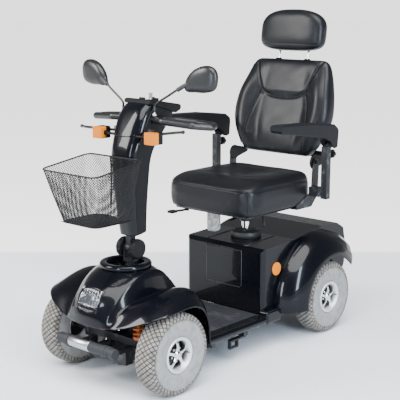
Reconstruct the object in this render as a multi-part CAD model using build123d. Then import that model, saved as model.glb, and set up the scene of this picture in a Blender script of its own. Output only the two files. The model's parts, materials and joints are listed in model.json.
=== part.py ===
from build123d import *
import math
import os

# Four-wheel mobility scooter.  Millimetres, +Z up, the scooter faces -Y, its left side is +X.
# Every sub-part is built about the ground point midway between the axles and moved by
# ORIGIN_Y when it is written, so that the whole scooter is centred on the origin.

# ---------------------------------------------------------------- driving dimensions
ORIGIN_Y = 11.74        # moves the mid-wheelbase frame to the centre of the overall box
WHEELBASE = 1024
FRONT_TRACK = 552       # between wheel centre planes
REAR_TRACK = 524
TYRE_OD = 330
TYRE_W = 100
BEAD_R = 72             # tyre bore
FIT = 0.3               # gap between parts that are assembled and stay put
RUN = 0.05              # radial clearance of a shaft in its bore
WALL = 4                # moulded panel thickness
AXLE_R = 12.5
KINGPIN_X = 200
STEER_ARM = 80
COLUMN_R = 15
COLUMN_Y = -456
TILT_Z = 528            # tiller tilt pivot height
COWL_HALF = 135
DECK_Z = 150
DECK_HALF = 250
BOX_HALF = 223          # rear body half width
BOX_FRONT = 117
POST_Y = 275            # seat post
POST_R = 20
SEAT_HALF = 235
SEAT_DEPTH = 460
SEAT_Z = 600            # underside of the cushion
SEAT_THICK = 150
BOLSTER = 78             # how far the backrest's side bolsters stand forward
BACK_HALF = 266
BACK_Z0 = 806
BACK_Z1 = 1243
BACK_LEAN = 15.5        # degrees
GRIP_R = 14
BASKET_W = 310
BASKET_D = 252

FRONT_Y = -WHEELBASE / 2
REAR_Y = WHEELBASE / 2
AXLE_Z = TYRE_OD / 2
FRONT_X = FRONT_TRACK / 2
REAR_X = REAR_TRACK / 2
C3 = (Align.CENTER, Align.CENTER, Align.MIN)


# ---------------------------------------------------------------- helpers
def block(x0, x1, y0, y1, z0, z1):
    return Pos((x0 + x1) / 2, (y0 + y1) / 2, (z0 + z1) / 2) * Box(x1 - x0, y1 - y0, z1 - z0)


def rod(p, q, r):
    p, q = Vector(*p), Vector(*q)
    return Plane(origin=p, z_dir=q - p) * Cylinder(r, (q - p).length, align=C3)


def disc(axis, centre, r, length):
    """Cylinder centred on a point, its axis along x, y or z."""
    turn = {"x": Rot(0, 90, 0), "y": Rot(90, 0, 0), "z": Rot(0, 0, 0)}[axis]
    return Pos(*centre) * turn * Cylinder(r, length)


def side_prism(points, x0, x1):
    """Polygon in the side view (Y, Z), extruded from x0 to x1."""
    face = make_face(Polyline(*points, close=True))
    return extrude(Plane.YZ.offset(x0) * face, amount=x1 - x0)


def plan_prism(points, z0, z1):
    """Polygon in the plan view (X, Y), extruded from z0 to z1."""
    face = make_face(Polyline(*points, close=True))
    return extrude(Plane.XY.offset(z0) * face, amount=z1 - z0)


def spin(points, centre):
    """Profile of (X, radius) points turned fully about the X axis through a centre."""
    return Pos(*centre) * revolve(make_face(Polyline(*points, close=True)), axis=Axis.X)


def pipe(points, r, bend):
    path = FilletPolyline(*points, radius=bend)
    start = Plane(origin=path @ 0, z_dir=path % 0)
    return sweep(start * Circle(r), path=path)


def right(shape):
    return mirror(shape, about=Plane.YZ)


def pair(shape):
    return Compound(children=[Part() + shape, Part() + right(shape)])


def soften(shape, edges, radius):
    """Fillet as much as the geometry allows, falling back to smaller radii."""
    for r in (radius, radius * 0.7, radius * 0.45):
        try:
            out = fillet(edges, r)
            if out.is_valid:
                return out
        except Exception:
            continue
    return shape


def save(node, shape):
    os.makedirs("parts", exist_ok=True)
    export_step(Pos(0, ORIGIN_Y, 0) * shape, f"parts/{node}.step")
    print(node, round(shape.volume / 1000), "cm3", len(shape.solids()), "solids")


# ---------------------------------------------------------------- wheels
def tyre(centre):
    w, r = TYRE_W / 2, TYRE_OD / 2
    profile = [(-w + 10, BEAD_R), (-w + 2, BEAD_R + 10), (-w, r - 42), (-w + 5, r - 12), (-w + 16, r),
               (w - 16, r), (w - 5, r - 12), (w, r - 42), (w - 2, BEAD_R + 10), (w - 10, BEAD_R)]
    return spin(profile, centre)


def rim(centre, side, shaft_to=None):
    """Pressed wheel centre; side is +1 for a left wheel, whose dished face looks to +X."""
    outer = BEAD_R - FIT
    ring = spin([(-40, outer - 9), (-40, outer), (40, outer), (40, outer - 9)], (0, 0, 0))
    body = ring + disc("x", (24, 0, 0), outer - 4, 8) + disc("x", (0, 0, 0), 24, 76)
    for k in range(5):
        window = Rot(72 * k, 0, 0) * block(10, 40, -11, 11, 31, 56)
        body -= window
    if shaft_to is None:
        body -= rod((-60, 0, 0), (34, 0, 0), AXLE_R + RUN)
    else:
        body += rod((-30, 0, 0), (-shaft_to, 0, 0), AXLE_R)
    for k in range(4):
        body += Rot(90 * k + 45, 0, 0) * disc("x", (30, 18, 0), 3, 8)
    return Pos(*centre) * (body if side > 0 else right(body))


def wheels():
    for tag, x, y, side in (("front_left", FRONT_X, FRONT_Y, 1), ("front_right", -FRONT_X, FRONT_Y, -1),
                            ("rear_left", REAR_X, REAR_Y, 1), ("rear_right", -REAR_X, REAR_Y, -1)):
        save("tyre_" + tag, tyre((x, y, AXLE_Z)))
        inner = None if "front" in tag else REAR_X - 132
        save("rim_" + tag, rim((x, y, AXLE_Z), side, inner))


# ---------------------------------------------------------------- chassis
def chassis_frame():
    body = block(40, 80, -600, 560, 90, 140) + block(-80, -40, -600, 560, 90, 140)
    for y in (-600, -300, 30, 400):
        body += block(-80, 80, y, y + 40, 95, 135)
    # steering head
    for x in (40, -46):
        body += block(x, x + 6, -482, -428, 140, 356)
    body += block(-46, 46, -482, -430, 215, 330)
    body += block(-46, 46, -530, -476, 336, 356) + block(-127, 127, -530, -500, 336, 356)
    body -= rod((0, COLUMN_Y, 150), (0, COLUMN_Y, 360), COLUMN_R + RUN)
    # seat tower over the batteries
    body += block(-182, 182, POST_Y - 30, POST_Y + 30, 100, 138)
    for x in (176, -182):
        body += block(x, x + 6, POST_Y - 30, POST_Y + 30, 100, 350)
    body += block(-182, 182, POST_Y - 40, POST_Y + 40, 342, 350)
    body += rod((0, POST_Y, 345), (0, POST_Y, 420), POST_R + 7)
    body -= rod((0, POST_Y, 350), (0, POST_Y, 430), POST_R + FIT)
    # bumper stays, deck outriggers and tie-down loops
    for x in (100, -112):
        body += block(x, x + 12, -672, -560, 150, 166)
    for x in (92, -112):
        body += block(x, x + 20, -600, -560, 95, 166) + block(-112, 112, -600, -560, 95, 135)
    for y in (-230, -20):
        body += block(-235, 235, y, y + 24, 96, 117)
    loop = block(-8, 8, -110, -58, 60, 96) - block(-9, 9, -104, -64, 66, 90)
    body += Pos(236 - 8, 0, 0) * loop + block(212, 236, -100, -8, 90, 97)
    body += Pos(-236 + 8, 0, 0) * loop + block(-236, -212, -100, -8, 90, 97)
    return body


def front_axle():
    y0, y1 = FRONT_Y - 18, FRONT_Y + 18
    body = block(-175, 175, y0, y1, 150, 180)
    half = block(160, KINGPIN_X - 19, y0, y1, 134, 196)
    for z0, z1 in ((134, 147.5), (182.5, 196)):
        half += block(160, KINGPIN_X, y0 + 3, y1 - 3, z0, z1)
        half += rod((KINGPIN_X, FRONT_Y, z0), (KINGPIN_X, FRONT_Y, z1), 15)
    half += rod((KINGPIN_X, FRONT_Y, 134), (KINGPIN_X, FRONT_Y, 200), 9)
    body += half + right(half)
    # the beam is clamped to the rails by two saddles
    for x in (48, -72):
        body += block(x, x + 24, y0, y1, 140.5, 152)
    return body


def front_shocks():
    """Coil-over unit between the axle beam and the cross tube of the steering head."""
    x, y = 100, FRONT_Y - 3
    body = rod((x, y, 181), (x, y, 335.5), 9)
    body += rod((x, y, 181), (x, y, 190), 22) + rod((x, y, 322), (x, y, 335.5), 22)
    coil_path = Pos(x, y, 192) * Helix(pitch=19, height=128, radius=20)
    start = Plane(origin=coil_path @ 0, z_dir=coil_path % 0)
    coil = sweep(start * Circle(4.2), path=coil_path)
    body += coil + rod((x, y, 186), (x, y, 194), 24) + rod((x, y, 317), (x, y, 326), 24)
    return body


def cowl(t):
    """Nose and dash cowl as stacked rounded sections; t is how far inside the skin."""
    levels = ((262, COWL_HALF - 8, -722, -300), (330, COWL_HALF, -714, -296),
              (400, COWL_HALF - 1, -672, -302), (450, COWL_HALF - 10, -612, -335),
              (475, COWL_HALF - 24, -580, -392))
    faces = []
    for i, (z, half, y0, y1) in enumerate(levels):
        zz = z - t if i else z - t
        s = RectangleRounded(2 * (half - t), (y1 - y0) - 2 * t, 48)
        faces.append(Plane(origin=(0, (y0 + y1) / 2, zz)) * s)
    return loft(faces)


def front_fender():
    """Left wing over the front wheel: arch, outer skirt and slanted rear wall."""
    c = (0, FRONT_Y, AXLE_Z)
    r = 246
    ground = block(100, 400, -900, -100, 146, 500)
    outer = disc("x", (240, c[1], c[2]), r, 240) & ground
    shape = [(120, -705), (146, -705), (336, -505), (336, -338), (250, -262), (120, -262)]
    outer = outer & plan_prism(shape, 140, 500)
    well = [(120, -900), (331, -900), (331, -339), (250, -267), (120, -267)]
    inner = disc("x", (240, c[1], c[2]), r - WALL, 260) & plan_prism(well, 100, 500)
    opening = disc("x", (400, c[1], c[2]), 207, 160)
    return outer - inner - opening


def front_shroud():
    shell = cowl(0) - cowl(WALL)
    wing = front_fender() - cowl(0)
    shell += wing + right(wing)
    apron = side_prism([(-320, 330), (-300, 330), (-262, 214), (-262, 152.5), (-267, 152.5),
                        (-267, 212)], -250, 250)
    shell += apron - cowl(WALL) - disc("x", (280, FRONT_Y, AXLE_Z), 242, 300)
    # dished rim round the tiller opening, and the headlight opening
    shell += disc("z", (0, -486, 476), 88, 9)
    shell -= disc("z", (0, -486, 470), 72, 60)
    shell -= block(-59, 59, -760, -640, 320, 404)
    shell = shell - block(-400, 400, -900, 0, 0, 146)
    parts = shell.solids().sort_by(SortBy.VOLUME)
    return parts[-1]


def lamp_profile(d0, d1):
    """Slanted slice of the headlight opening between two depths."""
    return [(-706 + d0, 321), (-667 + d0, 403), (-667 + d1, 403), (-706 + d1, 321)]


def headlight():
    lens = side_prism(lamp_profile(0, 4), -58, 58)
    bowl = side_prism(lamp_profile(4.3, 52), -58, 58)
    bowl -= side_prism([(-708 + 2, 327), (-667 + 2, 397), (-622, 397), (-656, 327)], -53, 53)
    bowl += disc("y", (0, -640, 362), 11, 30)
    bowl += Pos(0, -658, 362) * Sphere(9)
    save("headlight_housing", bowl)
    save("headlight_lens", lens)


def floor_pan():
    pan = block(-DECK_HALF - 2, DECK_HALF + 2, -258, BOX_FRONT - 3, 118, DECK_Z)
    pan = soften(pan, pan.edges().filter_by(Axis.Y), 14)
    return pan - block(-BOX_HALF + 8, BOX_HALF - 8, -270, BOX_FRONT + 10, 110, DECK_Z - 5)


def floor_mat():
    mat = block(-196, 196, -228, BOX_FRONT - 6, DECK_Z + 0.3, DECK_Z + 4)
    for k in range(24):
        x = -184 + 16 * k
        mat += block(x - 3, x + 3, -222, BOX_FRONT - 12, DECK_Z + 3, DECK_Z + 6.5)
    return mat


def front_bumper():
    tube = rod((-160, -700, 180), (160, -700, 180), 21)
    tube = soften(tube, tube.edges(), 4)
    for x in (106, -106):
        tube += disc("x", (x, -700, 180), 24, 20)
        tube += block(x - 10, x + 10, -700, -672.5, 150, 180)
    return tube


def batteries():
    one = block(4, 172, 135, 395, 160, 330)
    one = soften(one, one.edges().filter_by(Axis.Z), 6)
    for x in (40, 136):
        one += disc("z", (x, 160, 332), 7, 10)
    return pair(one)


def drive_unit():
    """Differential housing, axle tubes and the motor with its parking brake."""
    body = disc("x", (0, REAR_Y, AXLE_Z), 64, 76)
    body += rod((-190, REAR_Y, AXLE_Z), (190, REAR_Y, AXLE_Z), 23)
    body += rod((0, REAR_Y + 40, AXLE_Z + 8), (0, 672, AXLE_Z + 8), 48)
    body += rod((0, 670, AXLE_Z + 8), (0, 704, AXLE_Z + 8), 36)
    for s in (1, -1):
        body -= rod((s * 125, REAR_Y, AXLE_Z), (s * 200, REAR_Y, AXLE_Z), AXLE_R + RUN)
    return body


def rear_body(t):
    """Side view of the rear body, t inside the skin, with its front corners rounded."""
    drop = 12 if t else 0
    side = [(BOX_FRONT + t, 152 - drop), (BOX_FRONT + t, 428 - t), (BOX_FRONT + 16, 445 - t),
            (350, 452 - t), (560, 478 - t), (680, 474 - t), (733 - t, 444 - t * 0.6), (748 - t, 385),
            (748 - t, 270), (730 - t, 235 - drop), (620, 152 - drop)]
    x = BOX_HALF - t
    body = side_prism(side, -x, x)
    edges = [e for e in body.edges().filter_by(Axis.Z) if e.center().Y < BOX_FRONT + 10]
    return soften(body, edges, 24 - t)


def rear_arch(t):
    """Flared wing over the left rear wheel."""
    x = BOX_HALF - 12
    profile = [(x, 150), (x, 302 - t), (250, 299 - t), (288 - t * 0.5, 274 - t), (315 - t, 236 - t * 0.4),
               (327 - t, 200), (327 - t, 150)]
    turned = spin(profile, (0, REAR_Y, AXLE_Z))
    back = [(REAR_Y - 500, 148 - t), (REAR_Y - 500, 600), (REAR_Y + 600, 600 + t), (REAR_Y + 600, 762 - t),
            (REAR_Y + 8, 150), (REAR_Y, 148)]
    keep = side_prism([(0, 148), (0, 600), (745, 600), (745, 430), (REAR_Y + 8, 148)], 150, 400)
    return turned & keep


def rear_shroud():
    body = rear_body(0)
    wing = rear_arch(0) - rear_arch(WALL)
    well = disc("x", (300, REAR_Y, AXLE_Z), 190, 208)
    liner = disc("x", (300, REAR_Y, AXLE_Z), 194, 216)
    hollow = rear_body(WALL) - liner - right(liner)
    hollow += block(-BOX_HALF + 26, BOX_HALF - 26, BOX_FRONT + 6, 700, 140, 160)
    shell = body - well - right(well) - hollow
    wing = wing - rear_body(0) - well
    shell += wing + right(wing)
    # side sills running back from the deck
    sill = block(BOX_HALF - 2, DECK_HALF + 2, BOX_FRONT + 2, 222, 152, 172)
    shell += sill + right(sill)
    # access panel groove, seat post opening, lamp seats, axle openings
    groove = block(-88, 88, BOX_FRONT - 1, BOX_FRONT + 1.5, 278, 414)
    shell -= groove - block(-84, 84, BOX_FRONT - 2, BOX_FRONT + 3, 282, 410)
    shell -= disc("z", (0, POST_Y, 450), POST_R + 12, 60)
    for s in (1, -1):
        shell -= disc("x", (s * 200, REAR_Y, AXLE_Z), 32, 40)
    shell -= block(-400, 400, -100, 900, 0, 150)
    parts = shell.solids().sort_by(SortBy.VOLUME)
    return parts[-1]


def marker_lamps():
    """Round side reflectors, round rear lamps."""
    side = disc("x", (BOX_HALF + 3.3, 212, 345), 29, 6)
    rear = disc("y", (158, 748 + 5.3, 335), 32, 10)
    side = soften(side, side.edges().sort_by(Axis.X)[-1:], 2)
    return Compound(children=[Part() + side, Part() + right(side), Part() + rear, Part() + right(rear)])


def seat_post():
    return rod((0, POST_Y, 350.5), (0, POST_Y, 574), POST_R)


def seat_post_boot():
    z = 449.5
    boot = spin_z([(POST_R + FIT, z), (68, z), (70, z + 10), (66, z + 24), (48, z + 33), (POST_R + FIT, z + 36)])
    return boot - tilted_deck()


def spin_z(points):
    """Profile of (radius, z) points turned about the seat post."""
    face = Plane.XZ * make_face(Polyline(*points, close=True))
    return Pos(0, POST_Y, 0) * revolve(face, axis=Axis.Z)


def tilted_deck():
    """Space up to just above the sloping top of the rear body."""
    return side_prism([(100, 300), (100, 445.4), (BOX_FRONT + 16, 445.4), (350, 452.4), (400, 456), (400, 300)],
                      -200, 200)


# ---------------------------------------------------------------- steering
def knuckle():
    x = KINGPIN_X
    body = rod((x, FRONT_Y, 148), (x, FRONT_Y, 182), 16)
    body += rod((x + 10, FRONT_Y, AXLE_Z), (x + 22, FRONT_Y, AXLE_Z), 15)
    body += rod((x + 10, FRONT_Y, AXLE_Z), (FRONT_X + 32, FRONT_Y, AXLE_Z), AXLE_R)
    y = FRONT_Y + STEER_ARM
    body += block(x - 9, x + 9, FRONT_Y, y, 156, 167) + rod((x, y, 156), (x, y, 167), 12)
    body -= rod((x, y, 140), (x, y, 190), 6 + RUN)
    return body - rod((x, FRONT_Y, 140), (x, FRONT_Y, 190), 9 + RUN)


def steering_column():
    y = COLUMN_Y
    body = rod((0, y, 156), (0, y, 486), COLUMN_R)
    body += block(-10, 10, y, y + STEER_ARM, 156, 167) + rod((0, y + STEER_ARM, 156), (0, y + STEER_ARM, 179), 6)
    body += rod((0, y + STEER_ARM, 156), (0, y + STEER_ARM, 167), 12)
    body += rod((0, y, 357), (0, y, 368), 22)
    # fork that carries the tilt pivot
    body += block(-23, 23, y - 20, y + 20, 474, 488)
    for x in (14, -22):
        body += block(x, x + 8, y - 20, y + 20, 480, TILT_Z)
        body += disc("x", (x + 4, y, TILT_Z), 20, 8)
    return body - disc("x", (0, y, TILT_Z), 8 + RUN, 80)


def tie_rod():
    y = COLUMN_Y + STEER_ARM
    end = (KINGPIN_X, FRONT_Y + STEER_ARM, 176)
    body = rod((0, y, 168), (0, y, 184), 13)
    arm = rod((0, y, 176), end, 7) + rod((end[0], end[1], 168), (end[0], end[1], 184), 11)
    arm += rod((end[0], end[1], 154), (end[0], end[1], 170), 6)
    body += arm + right(arm)
    return body - rod((0, y, 150), (0, y, 180), 6 + RUN)


# ---------------------------------------------------------------- tiller
FRONT_EDGE = [(-476, 583), (-487, 640), (-503, 760), (-509, 864), (-504, 923), (-486, 981),
              (-464, 1038), (-440, 1078), (-412, 1104)]
REAR_EDGE = [(-402, 596), (-400, 720), (-393, 821), (-386, 880), (-369, 926), (-329, 974),
             (-290, 1020), (-262, 1060)]
COVER_SIDE = [(44, 560), (48, 650), (57, 780), (66, 905), (73, 985), (75, 1045), (70, 1120)]   # half width, height


def tiller_outline(t):
    """Closed side view of the tiller head, t inside the skin."""
    front = Spline(*[(y + t, z) for y, z in FRONT_EDGE[:-1]] + [(FRONT_EDGE[-1][0] + t, FRONT_EDGE[-1][1] - t)])
    rear = Spline(*[(y - t, z) for y, z in REAR_EDGE[:-1]] + [(REAR_EDGE[-1][0] - t, REAR_EDGE[-1][1] - t)])
    low = Line(rear @ 0, front @ 0)
    high = Line(front @ 1, rear @ 1)
    return make_face(Curve() + [front, high, rear, low])


def tiller_solid(t):
    """The side view, cut to the front view, which widens from the foot to the head."""
    body = extrude(Plane.YZ.offset(-90) * tiller_outline(t), amount=180)
    one = Spline(*[(x - t, z) for x, z in COVER_SIDE])
    two = Spline(*[(t - x, z) for x, z in COVER_SIDE])
    face = make_face(Curve() + [one, two, Line(one @ 0, two @ 0), Line(one @ 1, two @ 1)])
    return body & extrude(Plane.XZ.offset(150) * face, amount=450)


def seam_space(gap):
    """Everything in front of the joint between the painted front and the rear cover."""
    line = [(-458 + gap, 560), (-466 + gap, 640), (-478 + gap, 760), (-484 + gap, 864), (-479 + gap, 923),
            (-461 + gap, 981), (-439 + gap, 1030), (-415 + gap, 1068), (-385 + gap, 1106), (-385 + gap, 1200)]
    return side_prism([(-600, 560)] + line + [(-600, 1200)], -100, 100)


def tiller_covers():
    outer, inner = tiller_solid(0), tiller_solid(WALL)
    long_edges = [e for e in outer.edges() if e.length > 300]
    outer = soften(outer, long_edges, 14)
    shell = outer - inner
    openings = disc("x", (0, -399, 1043), GRIP_R + 2, 200) + disc("x", (0, -352, 1043), GRIP_R + 2, 200)
    openings += disc("x", (0, -430, 1004), 8.5, 200) + block(-18, 18, -470, -410, 560, 600)
    openings += disc("x", (0, -474, 984), 6.5, 200)
    front = shell & seam_space(0)
    front -= openings
    front = front.solids().sort_by(SortBy.VOLUME)[-1]
    rear = shell - seam_space(FIT)
    rear -= openings
    rear = rear.solids().sort_by(SortBy.VOLUME)[-1]
    save("tiller_front_cover", front)
    save("tiller_rear_cover", rear)


def tiller_stem():
    y = COLUMN_Y
    body = disc("x", (0, y, TILT_Z), 19, 27) + block(-13.5, 13.5, y - 14, y + 14, TILT_Z, 590)
    body += rod((0, y + 2, 580), (0, -425, 1012), 17)
    body += block(-50, 50, -440, -338, 1028, 1058)
    body += rod((-96, -430, 1004), (96, -430, 1004), 7)
    for s in (1, -1):
        body += rod((s * 50, -399, 1043), (s * 61, -399, 1043), GRIP_R)
        body += rod((s * 50, -352, 1043), (s * 61, -352, 1043), GRIP_R)
        body += disc("z", (s * 100, -430, 1004), 9, 10)
        body -= disc("z", (s * 100, -430, 1004), 3 + RUN, 40)
    body += block(-20, 20, -445, -405, 990, 1035)
    return body - disc("x", (0, y, TILT_Z), 8 + RUN, 80)


def grip():
    path = [(61.3, -399, 1043), (88, -399, 1043), (140, -414, 1043), (268, -384, 1034), (312, -318, 1026), (296, -284, 1027),
            (220, -296, 1033), (140, -338, 1041), (96, -352, 1043), (61.3, -352, 1043)]
    return pipe(path, GRIP_R, 16)


def grips():
    return pair(grip())


def indicator_bodies():
    one = rod((50, -474, 984), (124, -472, 984), 5.5)
    shell = block(120, 172, -466, -444, 960, 1008)
    shell = soften(shell, shell.edges().filter_by(Axis.Y), 5)
    return pair(one + shell + block(112, 124, -474, -450, 976, 992))


def indicator_lenses():
    lens = block(120.5, 171.5, -494, -466.3, 960.5, 1007.5)
    lens = soften(lens, lens.edges().filter_by(Axis.Y), 5)
    lens -= block(110, 124.3, -480, -440, 975, 993)
    return pair(lens)


def basket_solid(t):
    """Tapered tub of the basket, t inside the mesh."""
    z0, rim0, rim1 = 666 + t, 905, 905 - 0.14 * BASKET_D
    y_back = -531 - t
    low = Plane(origin=(0, -531 - 0.42 * BASKET_D, z0)) * RectangleRounded(
        0.66 * BASKET_W - 2 * t, 0.78 * BASKET_D - 2 * t, 40)
    angle = math.degrees(math.atan2(rim0 - rim1, BASKET_D))
    mid = (rim0 + rim1) / 2 + (6 if t else 0)
    top = Plane(origin=(0, -531 - BASKET_D / 2, mid), x_dir=(1, 0, 0),
                z_dir=(0, -math.sin(math.radians(angle)), math.cos(math.radians(angle))))
    high = top * RectangleRounded(BASKET_W - 2 * t, BASKET_D - 2 * t, 34)
    return loft([low, high])


def basket():
    tub = basket_solid(0) - basket_solid(3.5)
    rail = block(-45, 45, -533.5, -526, 800, 900)
    hooks = block(-34, -22, -527, -511, 858, 880) + block(22, 34, -527, -511, 858, 880)
    keep_clear = basket_solid(3.5)
    body = tub + (rail - keep_clear) + hooks
    return body.solids().sort_by(SortBy.VOLUME)[-1]


def dash_panel():
    lip = [(-412, 1104.6), (-262, 1060.6), (-236, 1072), (-232, 1086), (-240, 1094), (-398, 1122), (-410, 1118)]
    panel = side_prism(lip, -DASH_HALF, DASH_HALF)
    panel = soften(panel, [e for e in panel.edges() if abs(e.center().X) > DASH_HALF - 1 and e.length > 60], 5)
    for u, v, r, depth in DASH_HOLES:
        panel -= on_dash(u, v, -depth, 30, r + RUN)
    return panel


# dash controls: distance along the panel from its front edge, X, bore radius, depth
DASH_HOLES = ((30, 30, 7, 9), (86, 0, 9, 9), (92, -34, 7, 8), (50, -34, 3, 8))
DASH_HALF = 71
DASH_TILT = math.degrees(math.atan2(28, 158))


def dash_point(u, x, w):
    a = math.radians(DASH_TILT)
    return (x, -398 + u * math.cos(a) + w * math.sin(a), 1122 - u * math.sin(a) + w * math.cos(a))


def on_dash(u, x, w0, w1, r):
    return rod(dash_point(u, x, w0), dash_point(u, x, w1), r)


def dash_controls():
    u, x, r, d = DASH_HOLES[0]
    key = on_dash(u, x, -d + FIT, 7, r - 0.0)
    a = DASH_TILT
    key += Pos(*dash_point(u, x, 17)) * Rot(-a, 0, 0) * Box(3, 20, 22)
    save("ignition_key", key)
    u, x, r, d = DASH_HOLES[1]
    dial = on_dash(u, x, -d + FIT, 1, r) + on_dash(u, x, 0.5, 12, 17)
    dial += Pos(*dash_point(u, x, 12)) * Rot(-a, 0, 0) * Pos(0, -8, 1) * Box(3, 14, 4)
    save("speed_dial", dial)
    u, x, r, d = DASH_HOLES[2]
    save("horn_button", on_dash(u, x, -d + 4, 5, r))
    u, x, r, d = DASH_HOLES[3]
    switch = on_dash(u, x, -d + FIT, 2, r)
    switch += Pos(*dash_point(u, x, 5)) * Rot(-a, 0, 0) * Box(26, 9, 7)
    save("indicator_switch", switch)


def hand_lever(points):
    """Finger lever below a grip, pivoted on the cross bar, with a ball at its tip."""
    body = rod((100, -430, 990), (100, -430, 1009), 3) + disc("z", (100, -430, 992), 9, 6)
    body += pipe([(100, -430, 992), *points], 5.5, 20)
    return body + Pos(*points[-1]) * Sphere(7.5)


def mirror_unit():
    """Stem and shell with the glass set in the rider's side."""
    stem = rod((88, -402, 1057.6), (88, -402, 1072), 9)
    stem += pipe([(88, -402, 1066), (90, -400, 1102), (232, -384, 1186), (262, -378, 1196)], 5, 14)
    head = Pos(298, -366, 1207) * Rot(0, 0, 4) * Box(140, 30, 104)
    head = soften(head, head.edges().filter_by(lambda e: abs((e % 0.5).Y) > 0.9), 34)
    rim_edges = head.edges().sort_by(Axis.Y)[:8]
    head = soften(head, rim_edges, 12)
    return stem + head


def tilt_knob():
    body = disc("x", (0, COLUMN_Y, TILT_Z), 8, 52)
    knob = disc("x", (36, COLUMN_Y, TILT_Z), 41, 24)
    knob = soften(knob, knob.edges(), 7)
    for k in range(6):
        a = math.radians(60 * k)
        knob -= disc("x", (40, COLUMN_Y + 44 * math.cos(a), TILT_Z + 44 * math.sin(a)), 7, 30)
    return body + knob + right(knob)


# ---------------------------------------------------------------- seat
def seat_base():
    """Swivel plate on the post with the fixed slide rails."""
    body = rod((0, POST_Y, 520), (0, POST_Y, 575), POST_R + 8)
    body -= rod((0, POST_Y, 500), (0, POST_Y, 576), POST_R + RUN)
    body += block(-140, 140, 136, 404, 575, 579.4)
    for x in (120, -134):
        body += block(x, x + 14, 130, 420, 579, 588)
    return body + rod((50, 268, 555), (50, 268, 576), 3)


def seat_frame():
    """Seat pan, upper slide channels, side plates and armrest sockets."""
    body = block(-205, 205, 30, 440, 592, 599.4)
    for x in (110, -144):
        body += block(x, x + 34, 110, 436, 580, 594) - block(x + 9.6, x + 24.4, 100, 440, 570, 588.4)
    side = side_prism([(330, 592), (440, 592), (486, 640), (492, 780), (480, 806), (462, 806), (448, 780),
                       (440, 660), (330, 612)], 238, 244)
    side += block(200, 244, 330, 440, 592, 599.4)
    tube = block(243, 300, 417, 457, 645, 685)
    side += tube - block(250, 310, 421.5, 452.5, 649.5, 680.5)
    side -= disc("x", (240, 470, 790), 8 + RUN, 40)
    side -= rod((262, 440, 669), (262, 470, 669), 4 + RUN)
    return body + side + right(side) - block(-205, -262 + 300, -100, -50, 0, 1)


def hanging_sleeve():
    """Pale round sleeve hanging below the front right of the swivel plate."""
    tube = rod((-105, 172, 474), (-105, 172, 574.7), 30.5)
    return soften(tube, tube.edges().sort_by(Axis.Z)[:1], 12)


def cushion():
    pad = block(-SEAT_HALF, SEAT_HALF, 0, SEAT_DEPTH, SEAT_Z, SEAT_Z + SEAT_THICK)
    pad = soften(pad, pad.edges().filter_by(Axis.Z), 62)
    pad = soften(pad, pad.faces().sort_by(Axis.Z)[-1].edges(), 34)
    return soften(pad, pad.faces().sort_by(Axis.Z)[0].edges(), 16)


def back_plane():
    a = math.radians(BACK_LEAN)
    return Plane(origin=(0, 492, BACK_Z0), x_dir=(1, 0, 0), z_dir=(0, -math.cos(a), math.sin(a)))


def back_cushion():
    """Waisted backrest pad, leaning back, hollowed between its bolsters, with the post sockets."""
    outline = [(188, 4), (228, 70), (BACK_HALF, 168), (256, 262), (232, 380), (205, 452)]
    length = (BACK_Z1 - BACK_Z0) / math.cos(math.radians(BACK_LEAN)) - 12
    scale = length / 452
    pts = [(x, v * scale) for x, v in outline]
    side = Spline(*pts)
    other = Spline(*[(-x, v) for x, v in pts])
    face = make_face(Curve() + [side, other, Line(side @ 0, other @ 0), Line(side @ 1, other @ 1)])
    plane = back_plane()
    pad = extrude(plane * face, amount=BOLSTER) + extrude(plane * face, amount=-62)
    pad = soften(pad, pad.edges(), 20)
    hollow = (220 ** 2 + (BOLSTER - 28) ** 2) / (2 * (BOLSTER - 28))
    pad -= plane * Pos(0, 225, 28 + hollow) * Rot(90, 0, 0) * Cylinder(hollow, 900)
    for x in (82, -82):
        pad -= post_line(x, 100, 600, 6 + RUN)
    return pad


def along_back(x, v, w):
    """Point on the backrest: x across, v up the slope, w behind its middle plane."""
    a = math.radians(BACK_LEAN)
    return (x, 492 + v * math.sin(a) + w * math.cos(a), BACK_Z0 + v * math.cos(a) - w * math.sin(a))


def post_line(x, v0, v1, r):
    return rod(along_back(x, v0, 0), along_back(x, v1, 0), r)


def back_frame():
    """Hinge arms, rear plate and side discs that fold with the backrest."""
    arm = disc("x", (233.5, 470, 790), 33, 7) + disc("x", (240, 470, 790), 8, 20)
    arm += side_prism([(452, 790), (470, 760), (560, 782), (574, 796), (574, 824), (562, 824), (552, 806),
                       (470, 822)], 230, 237)
    arm += block(120, 237, 562, 574, 796, 824)
    plate = extrude(back_plane().offset(-62.5) * Pos(0, 190) * RectangleRounded(300, 330, 40), amount=-8)
    return arm + right(arm) + plate


def headrest():
    a = BACK_LEAN * 0.5
    pad = Pos(0, 0, 0) * Box(330, 96, 190)
    pad = soften(pad, pad.edges().filter_by(Axis.Y), 52)
    pad = soften(pad, pad.edges(), 26)
    pad = Pos(0, 612, 1366) * Rot(-a, 0, 0) * pad
    for x in (82, -82):
        pad -= post_line(x, 300, 600, 6 + FIT)
    return pad


def headrest_posts():
    both = [Part() + post_line(x, 330, 548, 6) for x in (82, -82)]
    return Compound(children=both)


def armrest_posts():
    """Square posts with their side legs in the seat's sockets."""
    post = block(304, 334, 422, 452, 638, 872)
    post += block(252, 318, 422, 452, 650, 680)
    post += side_prism([(424, 858), (452, 852), (486, 870), (486, 892), (452, 892), (424, 872)], 316, 322)
    post += disc("x", (319, 470, 884), 15, 6)
    post -= rod((319, 437, 835), (319, 480, 835), 4 + RUN)
    post -= disc("x", (319, 470, 884), 6 + RUN, 30)
    return pair(post)


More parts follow.
